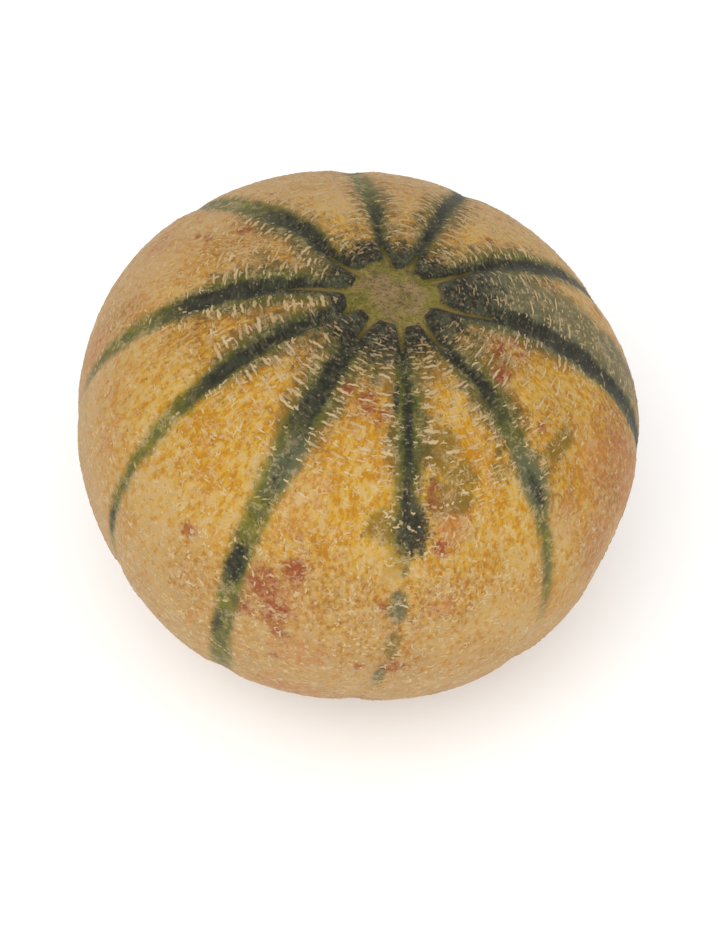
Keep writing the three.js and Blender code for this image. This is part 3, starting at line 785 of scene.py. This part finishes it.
    def corked(self, bench: Bench, colour: Socket, fray: Value) -> Socket:
        """Dry cork on the crests of the ridges, pale round the stem end."""
        cloud = bench.noise(bench.place(), 300, 3, 0.6)
        dry = bench.mix(bench.field("crown"), self.buff, self.pale)
        dry = bench.mix(cloud.ramp(0.42, 0.65) * (0.7 - bench.field("crown") * 0.2), dry, self.shade)
        crest = bench.field("crest").ramp(0.2, 0.95) * bench.field("cork")
        return bench.mix(crest * (0.8 + (fray + 0.5) * 0.35), colour, dry)

    def apply(self, bench: Bench) -> None:
        """Builds the material's nodes."""
        clouds = self.clouds(bench)
        colour = self.stained(bench, self.mottled(bench, clouds.mottle), clouds)
        colour, night = self.striped(bench, colour, clouds)
        colour = self.specked(bench, colour, clouds.loose, night)
        fibres = bench.noise(bench.scaled(bench.place(), self.fibre_stretch), 700, 6, 0.9, 1.4)
        colour = self.corked(bench, self.scarred(bench, colour, fibres), clouds.fray)
        scar = bench.field("scar")
        height = clouds.mottle * 0.5 + fibres * scar * 1.4 + clouds.fray * 0.6
        bench.dress(colour, 0.6 + clouds.mottle * 0.12 + scar * 0.2, height, 0.35, 0.5 * MM)
        bench.hold({"Specular IOR Level": 0.18, "Sheen Weight": 0.08})
        bench.hold({"Sheen Roughness": 0.45, "Sheen Tint": (0.95, 0.82, 0.66, 1)})


@dataclass(frozen=True)
class PlainFinish:
    """One even finish, for the floor."""

    colour: Colour
    roughness: float

    def apply(self, bench: Bench) -> None:
        """Sets the shader."""
        bench.hold({"Base Color": self.colour, "Roughness": self.roughness})


# ---- meshes


def keep_field(mesh: Mesh, name: str, values: Array) -> None:
    """Stores a number, or a vector, on each vertex of a mesh."""
    is_vector = values.ndim == 2
    layer = mesh.attributes.new(name, "FLOAT_VECTOR" if is_vector else "FLOAT", "POINT")
    layer.data.foreach_set("vector" if is_vector else "value", values.astype(np.float32).ravel())


def mesh_of(shape: bmesh.types.BMesh, name: str) -> Mesh:
    """A mesh of this name from a bmesh, which is freed."""
    mesh = bpy.data.meshes.new(name)
    shape.to_mesh(mesh)
    shape.free()
    return mesh


def link(thing: bpy.types.Object) -> None:
    """Puts an object in the scene."""
    bpy.context.scene.collection.objects.link(thing)


def vertices(mesh: Mesh) -> Array:
    """The places of a mesh's vertices."""
    flat = np.zeros(len(mesh.vertices) * 3, np.float32)
    mesh.vertices.foreach_get("co", flat)
    return flat.reshape(-1, 3).astype(float)


def finish_piece(mesh: Mesh, places: Array, finish: object) -> bpy.types.Object:
    """Puts a mesh's vertices in place, gives it its material and makes it an object, smoothly shaded."""
    mesh.vertices.foreach_set("co", places.astype(np.float32).ravel())
    mesh.shade_smooth()
    mesh.update()
    bench = Bench(mesh.name + "_finish")
    finish.apply(bench)
    mesh.materials.append(bench.material)
    piece = bpy.data.objects.new(mesh.name, mesh)
    link(piece)
    return piece


class Coat:
    """The fields that the rind's finish reads, at directions. A painted sheen on the sides grows as the skin
    turns away from one place, in degrees, about toward the camera, and the painted highlight on the scar's
    rim is brightest toward one side."""

    ripest: Pair = (276, 50)
    # The side toward which the painted highlight on the scar's rim is brightest.
    bright_side: Pair = (0.5, -0.87)
    stripe_entry: Pair = (8, 34)
    crown: Pair = (26, 46)

    def __init__(self, d: Array) -> None:
        """Finds where the directions lie on the fruit."""
        self.d = d
        self.azimuth, self.latitude = SKIN.angles(d)
        self.reach = SKIN.reach(d)
        self.near = SKIN.nearest(d)
        self.is_top = d[:, 2] > 0
        self.past_tip = np.where(self.is_top, self.reach - SKIN.tip_reach(self.near), FAR)

    def of_furrow(self, trait: str) -> Array:
        """One trait of the furrow nearest to each direction."""
        return SKIN.of_furrow(self.near.furrow, trait)

    def stripes(self) -> dict[str, Array]:
        """How far the furrow's line is, how wide its stripe is, and the olive wash beside it."""
        entry = np.where(self.is_top, ramp(self.reach, *self.stripe_entry), 1)
        width = 1 - (1 - self.of_furrow("low")) * (1 - ramp(self.latitude, 0, 50))
        core = self.of_furrow("core") * (0.75 + 0.25 * entry) * width
        beside = 0.95 * (1 - ramp(self.near.offset - core, 0.5, 8)) * ramp(self.latitude, 33, 55)
        shade = SKIN.of_rib(self.near.rib, "shade")
        washed = np.maximum(1 - ramp((self.past_tip - shade * 0.5) / (shade * 0.5 + 9), 0, 1), beside)
        return {
            "furrow": self.near.offset,
            "core": core,
            "halo": self.of_furrow("halo") * (0.4 + 0.6 * entry) * width,
            "night": ramp((self.latitude - self.of_furrow("dark_to")) / 7, -1, 1),
            "green": ramp((self.latitude - self.of_furrow("green_to")) / 9, -1, 1),
            "wash": np.where(self.is_top, SKIN.of_rib(self.near.rib, "moss") * washed, 0),
        }

    def ground(self) -> dict[str, Array]:
        """The place as it grew, the crown, the painted sheen on the sides turned from the camera with a band
        round the lower middle, and the low ground.
        """
        turn = np.radians(self.azimuth)
        # side is how far the skin faces about toward the camera; rim is a painted sheen where it turns away,
        # and belt a band of the same tone round the lower middle.
        side = self.d @ toward(*self.ripest)
        rim = (1 - ramp(side, 0, 0.65)) * (0.45 + 0.55 * ramp(side, -0.5, 0))
        belt = 0.65 * (1 - ramp(self.latitude, -5, 36)) * ramp(self.latitude, -60, -10)
        return {
            "grown": np.stack([np.cos(turn), np.sin(turn), np.radians(90 - self.latitude)], axis=-1),
            "crown": (1 - ramp(self.reach, *self.crown)) * self.is_top,
            "dust": np.maximum(rim, belt),
            "low": 1 - ramp(self.latitude, -15, 30),
        }

    def stains(self) -> dict[str, Array]:
        """The marks, with the dark tips of the ribs."""
        shares = {stain.value: covered(self.d, stain) for stain in Stain}
        dark = Stain.DARK.value
        return {**shares, dark: np.maximum(shares[dark], 1.15 * SKIN.shaded(self.d))}

    def scars(self) -> dict[str, Array]:
        """The stem's scar with its pith and arms, the pale lines along its arms, a painted highlight along
        one side of its rim, and the blossom's scar.
        """
        scar = SKIN.scar_share(self.near, self.reach) * self.is_top
        radius, width, _ = SKIN.blossom_scar
        blossom = (1 - ramp(self.reach - radius, -0.5, width)) * ~self.is_top
        arm = ramp(self.past_tip, -0.3, 1.5) * scar
        x, y = self.d[:, 0], self.d[:, 1]
        toward_highlight = (self.bright_side[0] * x + self.bright_side[1] * y) / np.maximum(np.hypot(x, y), 1e-9)
        # line is a painted highlight: a pale streak along the scar's rim, only on its front and right side.
        line = bell(scar - 0.6, 0.25) * ramp(self.reach, 6, 9) * (1 - arm) * 0.7 * ramp(toward_highlight, -0.3, 0.6)
        return {
            "scar": np.maximum(scar, blossom),
            "pith": 1 - ramp(self.reach, 3, 9),
            "arm": arm,
            "vein": np.maximum(line, SKIN.veins(self.near, self.reach) ** 3) * self.is_top,
        }


def paint(mesh: Mesh, d: Array) -> None:
    """Stores the fields that the rind's finish reads, for vertices in these directions."""
    coat = Coat(d)
    for name, values in {**coat.stripes(), **coat.ground(), **coat.stains(), **coat.scars()}.items():
        keep_field(mesh, name, values)


@dataclass
class Rind:
    """The whole skin as one fine closed mesh."""

    meridians: int = 416
    parallels: int = 232
    crowding: float = 1.25  # how much closer the parallels lie round the stem end
    finish: RindFinish = field(default_factory=RindFinish)

    def directions(self, mesh: Mesh) -> Array:
        """The unit vectors of a ball's vertices, drawn closer round the stem end."""
        azimuth, latitude = SKIN.angles(unit(vertices(mesh)))
        return toward(azimuth, 90 - 180 * ((90 - latitude) / 180) ** self.crowding)

    def build(self) -> bpy.types.Object:
        """Makes the rind, in place of the solid."""
        shape = bmesh.new()
        bmesh.ops.create_uvsphere(shape, u_segments=self.meridians, v_segments=self.parallels, radius=1)
        mesh = mesh_of(shape, "rind")
        d = self.directions(mesh)
        paint(mesh, d)
        piece = finish_piece(mesh, SKIN.placed(SKIN.points(d)), self.finish)
        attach(piece, "root")
        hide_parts("melon")
        return piece


# ---- the cork


@dataclass
class Ridges:
    """Many small ridges of cork. Each has a middle on the skin, and its sizes in mm and radians.

    bend bows a ridge to one side, twist bends its two ends opposite ways, and cork is how dry and pale its
    crest is.
    """

    middle: Array
    length: Array
    heading: Array
    half_width: Array
    height: Array
    bend: Array
    twist: Array
    cork: Array

    def __len__(self) -> int:
        """How many ridges there are."""
        return len(self.length)

    def where(self, chosen: Array) -> "Ridges":
        """Only the chosen ridges, by a mask or by their numbers."""
        return Ridges(*(getattr(self, name)[chosen] for name in self.__dataclass_fields__))

    def and_also(self, other: "Ridges") -> "Ridges":
        """These ridges and others."""
        pairs = ((getattr(self, name), getattr(other, name)) for name in self.__dataclass_fields__)
        return Ridges(*(np.concatenate(pair) for pair in pairs))

    def course(self, number: Array, step: Array) -> tuple[Array, Array, Array]:
        """Where points of the ridges' middle lines lie.

        Args:
            number: each point's ridge.
            step: how far along it the point is, from -1 to 1.

        Returns:
            mm east and north of the ridge's middle, and the course's heading there.
        """
        heading = self.heading[number]
        along = 0.5 * self.length[number] * step
        kink = 0.25 * self.half_width[number] * np.sin(step * 7 + number * 2.4)
        side = self.bend[number] * (0.4 - step**2) + self.twist[number] * (step**3 - 0.6 * step) + kink
        slope = (-2 * self.bend[number] * step) / (0.5 * self.length[number])
        east = along * np.cos(heading) - side * np.sin(heading)
        north = along * np.sin(heading) + side * np.cos(heading)
        return east, north, heading + np.arctan(slope)


@dataclass
class Cork:
    """One piece of raised cork: ridges of one make, standing on the skin."""

    name: str
    ridges: Ridges
    stations: int = 6
    sink: float = 0.08
    finish: RindFinish = field(default_factory=RindFinish)

    def stock(self) -> Mesh:
        """Copies of one straight ridge, numbered, 2 units long, wide and high round the origin."""
        shape = bmesh.new()
        number = shape.verts.layers.int.new("number")
        bmesh.ops.create_cube(shape, size=2)
        lengthwise = [e for e in shape.edges if abs(e.verts[0].co.x - e.verts[1].co.x) > 1]
        bmesh.ops.subdivide_edges(shape, edges=lengthwise, cuts=self.stations - 2, use_grid_fill=True)
        made = 1
        while made < len(self.ridges):
            batch = min(made, len(self.ridges) - made)
            chosen = [v for v in shape.verts if v[number] < batch]
            faces = [f for f in shape.faces if f.verts[0][number] < batch]
            edges = [e for e in shape.edges if e.verts[0][number] < batch]
            copies = bmesh.ops.duplicate(shape, geom=chosen + edges + faces)
            for item in copies["geom"]:
                if isinstance(item, bmesh.types.BMVert):
                    item[number] += made
            made += batch
        return mesh_of(shape, self.name)

    def build(self) -> bpy.types.Object:
        """Makes the piece: each copy of the stock is laid along its ridge's course, tapered and lifted.

        Returns:
            The cork's object.
        """
        mesh = self.stock()
        step, across, up = vertices(mesh).T
        number = np.zeros(len(mesh.vertices), np.int32)
        mesh.attributes["number"].data.foreach_get("value", number)
        ridges = self.ridges
        taper = np.sqrt(np.clip(1 - step**2, 0, 1))
        swell = 1 + 0.14 * np.sin(step * 4.3 + number * 1.7) + 0.08 * np.sin(step * 9.1 + number * 2.9)
        half = ridges.half_width[number] * (0.5 + 0.5 * taper) * swell
        is_crest = up > 0
        east, north, heading = ridges.course(number, step)
        side = across * half * np.where(is_crest, 0.6, 1.3)
        east = east - side * np.sin(heading)
        north = north + side * np.cos(heading)
        lift = np.where(is_crest, ridges.height[number] * (0.3 + 0.7 * taper), -self.sink)
        d = SKIN.beside(ridges.middle[number], east, north)
        paint(mesh, d)
        keep_field(mesh, "crest", np.where(is_crest, 0.5 + 0.5 * taper, 0))
        keep_field(mesh, "cork", ridges.cork[number])
        piece = finish_piece(mesh, SKIN.placed(SKIN.points(d, lift)), self.finish)
        lean = 0.3 * is_crest * across
        tilt = np.stack([-np.sin(heading) * lean, np.cos(heading) * lean], axis=-1)
        mesh.normals_split_custom_set_from_vertices(SKIN.normals(d, tilt))
        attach(piece, "root")
        return piece


@dataclass(frozen=True)
class Growth:
    """Where the cork grows: bars across the ribs round the stem end, and crooked ticks over the rest.

    Lengths are in mm. branching is the share of bars, rungs and net that branch, net_bands are by the upward
    part of the direction, and the keys number rows by rib, pieces by rib and pieces by row, for their draws.
    """

    crown_from: float = 14
    crown_to: float = 46
    bar_length: float = 4.6
    row_step: float = 2.9
    bar_gap: float = 1.4
    bar_margin: float = 1.8
    tick_length: float = 7.5
    tick_bend: float = 1.5
    tick_count: int = 420
    rung_step: float = 1.75
    rung_rows: int = 26
    net_count: int = 16000
    tick_parts: int = 4
    net_crown_to: float = 40
    blossom_clear: float = 13
    flat_clear: float = 0.6
    branching: Triple = (0.2, 0.35, 0.6)
    net_bands: tuple[Pair, ...] = ((0.42, 2), (-0.1, 0.42), (-0.5, -0.1), (-2, -0.5))
    bar_keys: tuple[int, int, int] = (40, 400, 10)
    rung_keys: tuple[int, int, int] = (60, 4000, 60)

    def rows(self, start: float, step: float, count: int, keys: int, shift: float, trait: int) -> Iterator:
        """Each rib's rows from some mm past the stem down: rib, row, latitude and the rib's width in mm."""
        for rib in range(len(SKIN.ribs)):
            for row in range(count):
                arc = start + step * (row + shift * draw(rib * keys + row, trait))
                yield (rib, row, *SKIN.across(rib, arc))

    def bars(self) -> Ridges:
        """The broad bars that the solid has too: rows of them in each rib, round the stem end."""
        rows = int((self.crown_to - self.crown_from) // self.row_step)
        row_key, rib_key, bar_key = self.bar_keys
        made = []
        for rib, row, latitude, width in self.rows(self.crown_from, self.row_step, rows, row_key, 0.5, 1):
            room = width - 2 * self.bar_margin
            count = max(1, math.floor(room / (self.bar_length + self.bar_gap) + 0.5))
            cell = room / count
            for place in range(count):
                key = rib * rib_key + row * bar_key + place
                length = min(cell - 0.7 * self.bar_gap, self.bar_length * (0.7 + 0.5 * draw(key, 2)))
                if length < 2 or draw(key, 3) < 0.06 + 0.3 * (row / rows):
                    continue
                at = self.bar_margin + cell * (place + 0.5) + 0.6 * sway(key, 4)
                middle = SKIN.on_rib(rib, latitude, at)
                made.append((middle, length, math.radians(26 * sway(key, 5)), key))
        middle, length, heading, key = (np.array(part) for part in zip(*made))
        bold = SKIN.of_rib(key // rib_key, "bold")
        shaded = SKIN.shaded(middle)
        slight = shaded * (bold < 1)
        return Ridges(
            middle=middle,
            length=length * (0.65 + 0.35 * draw(key, 20)) * (1 - 0.35 * slight),
            heading=heading,
            half_width=(0.3 + 0.24 * draw(key, 21)) * bold * (1 - 0.4 * slight),
            height=0.24 + 0.14 * draw(key, 22),
            bend=0.4 * sway(key, 23),
            twist=0.2 * sway(key, 24),
            cork=(0.7 + 0.35 * draw(key, 25)) * (1 - 0.4 * shaded),
        )

    def scattered(self, key: Array, turn: Array, level: Array) -> Array:
        """Directions spread evenly over the fruit on a spiral, each turned and raised by some degrees."""
        latitude = np.degrees(np.arcsin(1 - (2 * key + 1) / len(key))) + level
        return toward(key * 180 * (3 - math.sqrt(5)) + turn, np.clip(latitude, -89, 89))

    def ticks(self) -> Ridges:
        """The long crooked ticks that the solid has too, at their true width."""
        key = np.arange(self.tick_count)
        d = self.scattered(key, 0 * key, 3 * sway(key, 6))
        reach = np.minimum(1, SKIN.reach(d) / SKIN.equator_radius)
        arc = SKIN.equator_radius * np.arcsin(reach)
        is_clear = np.where(d[:, 2] > 0, arc >= self.crown_to + 1, arc >= self.blossom_clear)
        whole = Ridges(
            middle=d,
            length=self.tick_length * (0.7 + 0.45 * draw(key, 7)),
            heading=np.pi * draw(key, 8),
            half_width=0.2 + 0.16 * draw(key, 21),
            height=0.1 + 0.08 * draw(key, 22),
            bend=self.tick_bend * (2 * draw(key, 9) - 1),
            twist=0 * key,
            cork=0.25 + 0.65 * SKIN.of_rib(SKIN.nearest(d).rib, "net"),
        )
        return self.broken(whole.where(is_clear), self.tick_parts)

    def broken(self, whole: Ridges, count: int) -> Ridges:
        """Long ridges broken into short ones along their courses."""
        number = np.repeat(np.arange(len(whole)), count)
        key = np.arange(len(number))
        step = (2 * (key % count) + 1) / count - 1 + 0.3 * sway(key, 61) / count
        east, north, heading = whole.course(number, step)
        pieces = whole.where(number)
        return replace(
            pieces,
            middle=SKIN.beside(pieces.middle, east, north),
            length=pieces.length / count * (0.55 + 0.4 * draw(key, 62)),
            heading=heading + np.radians(70) * sway(key, 63),
            half_width=pieces.half_width * (0.8 + 0.5 * draw(key, 64)),
            bend=0.3 * sway(key, 65),
            twist=0 * key,
            cork=pieces.cork * (0.6 + 0.4 * draw(key, 66)),
        )

    def rungs(self) -> Ridges:
        """The finer bars between the broad ones, in close rows that end raggedly further down."""
        row_key, rib_key, rung_key = self.rung_keys
        start, step, rows = self.crown_from - 1, self.rung_step, self.rung_rows
        made = []
        for rib, row, latitude, width in self.rows(start, step, rows, row_key, 0.6, 31):
            bold = SKIN.ribs[rib].bold
            spared = 0.36 + 0.5 * (row / rows) ** 2 + max(0, bold - 0.8)
            end = width - SKIN.furrows[(rib + 1) % len(SKIN.furrows)].core * 0.7
            at = SKIN.furrows[rib].core * 0.7 + 0.8 * draw(rib * row_key + row, 32)
            while at < end - 1:
                key = rib * rib_key + row * rung_key + int(at * 2)
                length = (0.9 + 1.7 * draw(key, 33)) * (0.4 + 0.6 * bold)
                if draw(key, 34) > spared and at + length < end + 0.5:
                    middle = SKIN.on_rib(rib, latitude, at + length / 2)
                    made.append((middle, length, math.radians(30 * sway(key, 35)), key))
                at += length + 0.4 + 0.8 * draw(key, 36)
        middle, length, heading, key = (np.array(part) for part in zip(*made))
        shaded = SKIN.shaded(middle)
        return Ridges(
            middle=middle,
            length=length,
            heading=heading,
            half_width=(0.18 + 0.16 * draw(key, 37)) * (0.4 + 0.6 * SKIN.of_rib(key // rib_key, "bold")),
            height=0.12 + 0.12 * draw(key, 38),
            bend=0.8 * sway(key, 39) * (1 - shaded),
            twist=0.7 * sway(key, 40) * (1 - shaded),
            cork=(0.75 + 0.3 * draw(key, 55)) * (1 - 0.55 * shaded),
        )

    def net(self) -> Ridges:
        """The fine crooked ticks all over, many with a branch, thinner on the dark stripes."""
        key = np.arange(self.net_count)
        d = self.scattered(key, 1.6 * sway(key, 42), 1.2 * sway(key, 41))
        near = SKIN.nearest(d)
        reach = SKIN.reach(d)
        is_top = d[:, 2] > 0
        in_crown = is_top & (reach < self.net_crown_to)
        is_dark = near.offset < SKIN.of_furrow(near.furrow, "core") + 0.3
        below = 1 - ramp(d[:, 2], 0.25, 0.6)
        size = draw(key, 43)
        ridges = Ridges(
            middle=d,
            length=np.where(is_dark, 0.5 + 0.8 * size, 0.6 + (2.2 - 0.3 * below) * size**2),
            heading=np.where(in_crown, 0.6 * sway(key, 44), self.headings(key)),
            half_width=(0.14 + 0.15 * draw(key, 45)) * np.where(is_dark, 0.8, 1 + 0.25 * below),
            height=0.05 + 0.06 * draw(key, 46),
            bend=(0.9 + 1.0 * below) * sway(key, 47),
            twist=(0.7 + 0.7 * below) * sway(key, 48),
            cork=(0.4 + 0.5 * draw(key, 56) + 0.1 * below) * np.where(is_dark, 0.4, 1 - 0.5 * SKIN.shaded(d)),
        )
        zone = 0.5 + 0.5 * np.sin(11 * d[:, 0] + 1) * np.sin(13 * d[:, 1] + 2) * np.sin(12 * d[:, 2])
        on_rib = (0.35 + 0.6 * zone) * SKIN.of_rib(near.rib, "net")
        chance = np.where(is_dark, SKIN.of_furrow(near.furrow, "specks"), on_rib)
        is_ground = np.where(is_top, reach > SKIN.tip_reach(near) + 1.2, reach > 7)
        stems = ridges.where((draw(key, 49) < np.where(in_crown, 0.45 * chance, chance)) & is_ground)
        return stems.and_also(self.branches(stems, self.branching[2]))

    def headings(self, key: Array) -> Array:
        """Half of the ticks lie across the ribs, most others along them, and some any way."""
        way = draw(key, 54)
        spread = np.where(way < 0.85, 0.35, np.pi / 2)
        return 2 * spread * sway(key, 44) + np.where(way < 0.5, 0, np.pi / 2)

    def branches(self, stems: Ridges, share: float) -> Ridges:
        """Short ridges that leave the middles of some others sideways."""
        key = np.arange(len(stems))
        chosen = stems.where((draw(key, 51) < share) & (stems.length > 1.3))
        key = np.arange(len(chosen))
        length = 0.5 * chosen.length * (0.7 + 0.6 * draw(key, 52))
        heading = chosen.heading + np.radians(55 + 70 * draw(key, 53))
        east, north = 0.5 * length * np.cos(heading), 0.5 * length * np.sin(heading)
        return replace(
            chosen,
            middle=SKIN.beside(chosen.middle, east, north),
            length=length,
            heading=heading,
            half_width=chosen.half_width * 0.9,
            height=chosen.height * 0.95,
            bend=chosen.bend * 0.5,
            twist=chosen.twist * 0.5,
        )

    def off_the_flat(self, ridges: Ridges) -> Ridges:
        """The ridges that don't lie where the fruit rests."""
        height = SKIN.points(ridges.middle) @ SKIN.up + SKIN.centre_height
        return ridges.where(height > self.flat_clear)

    def pieces(self) -> list[Cork]:
        """The cork, in pieces of one make each, the fine net in bands from the stem end down."""
        bars, rungs = self.bars(), self.rungs()
        made = [
            Cork("cork_bars", bars.and_also(self.branches(bars, self.branching[0])), stations=9),
            Cork("cork_rungs", rungs.and_also(self.branches(rungs, self.branching[1]))),
            Cork("cork_ticks", self.off_the_flat(self.ticks())),
        ]
        net = self.off_the_flat(self.net())
        level = net.middle[:, 2]
        for place, (low, high) in enumerate(self.net_bands, 1):
            made.append(Cork(f"cork_net_{place}", net.where((level >= low) & (level < high)), stations=5))
        return made


# ---- the studio


@dataclass(frozen=True)
class Lamp:
    """One soft square light: its place and side in metres, and its power in watts."""

    name: str
    place: Triple
    side: float
    power: float
    colour: Triple = (1, 1, 1)


@dataclass
class Studio:
    """A plain pale floor, soft light and the camera."""

    elevation: float = 54.5
    distance: float = 0.91
    lens: float = 149.1
    aside: float = 0.42 * MM
    below: float = 9.5 * MM
    floor_side: float = 6.0
    floor_gap: float = 0.05 * MM
    ambient: float = 0.97
    lamps: tuple[Lamp, ...] = (
        Lamp("key", (-0.4, -0.6, 0.9), 1.0, 5.4, (1, 0.985, 0.96)),
        Lamp("fill", (0.5, -0.7, 0.6), 0.8, 2.4),
    )

    def lay_floor(self) -> None:
        """Adds the floor."""
        shape = bmesh.new()
        bmesh.ops.create_grid(shape, x_segments=1, y_segments=1, size=self.floor_side / 2)
        mesh = mesh_of(shape, "floor")
        under = vertices(mesh) - (0, 0, self.floor_gap)
        floor = finish_piece(mesh, under, PlainFinish((0.97, 0.97, 0.97, 1), 0.9))

    def light(self) -> None:
        """Adds the lamps and the even light from all round."""
        middle = Vector((0, 0, SKIN.centre_height * MM))
        for lamp in self.lamps:
            data = bpy.data.lights.new(lamp.name, "AREA")
            data.size = lamp.side
            data.energy = lamp.power
            data.color = lamp.colour
            stand = bpy.data.objects.new(lamp.name, data)
            stand.location = lamp.place
            stand.rotation_euler = (middle - stand.location).to_track_quat("-Z", "Y").to_euler()
            link(stand)
        world = bpy.data.worlds.new("studio")
        world.use_nodes = True
        world.node_tree.nodes["Background"].inputs["Color"].default_value = (1, 1, 1, 1)
        world.node_tree.nodes["Background"].inputs["Strength"].default_value = self.ambient
        bpy.context.scene.world = world
        bpy.context.scene.view_settings.view_transform = "Standard"

    def set_camera(self) -> None:
        """Places the camera, looking along +Y and down."""
        tilt = math.radians(self.elevation)
        back = Vector((0, -math.cos(tilt), math.sin(tilt)))
        rise = Vector((0, math.sin(tilt), math.cos(tilt)))
        middle = Vector((SKIN.stand[0] * MM, SKIN.stand[1] * MM, SKIN.centre_height * MM))
        aim = middle + Vector((self.aside, 0, 0)) - rise * self.below
        data = bpy.data.cameras.new("camera")
        data.lens = self.lens
        data.sensor_width = 36
        camera = bpy.data.objects.new("camera", data)
        camera.location = aim + back * self.distance
        camera.rotation_euler = (-back).to_track_quat("-Z", "Y").to_euler()
        link(camera)
        bpy.context.scene.camera = camera


def keep_sizes() -> None:
    """Brings the scene's placements up to date."""
    bpy.context.view_layer.update()


def main() -> None:
    """Builds the rind, the cork and the studio, and logs each piece."""
    logging.basicConfig(level=logging.INFO, format="%(message)s")
    studio = Studio()
    studio.set_camera()
    studio.light()
    studio.lay_floor()
    for part in (Rind(), *Growth().pieces()):
        piece = part.build()
        triangles = sum(len(face.vertices) - 2 for face in piece.data.polygons)
        LOG.info("%s: %d triangles", piece.name, triangles)
    keep_sizes()


if __name__ == "__main__":
    main()
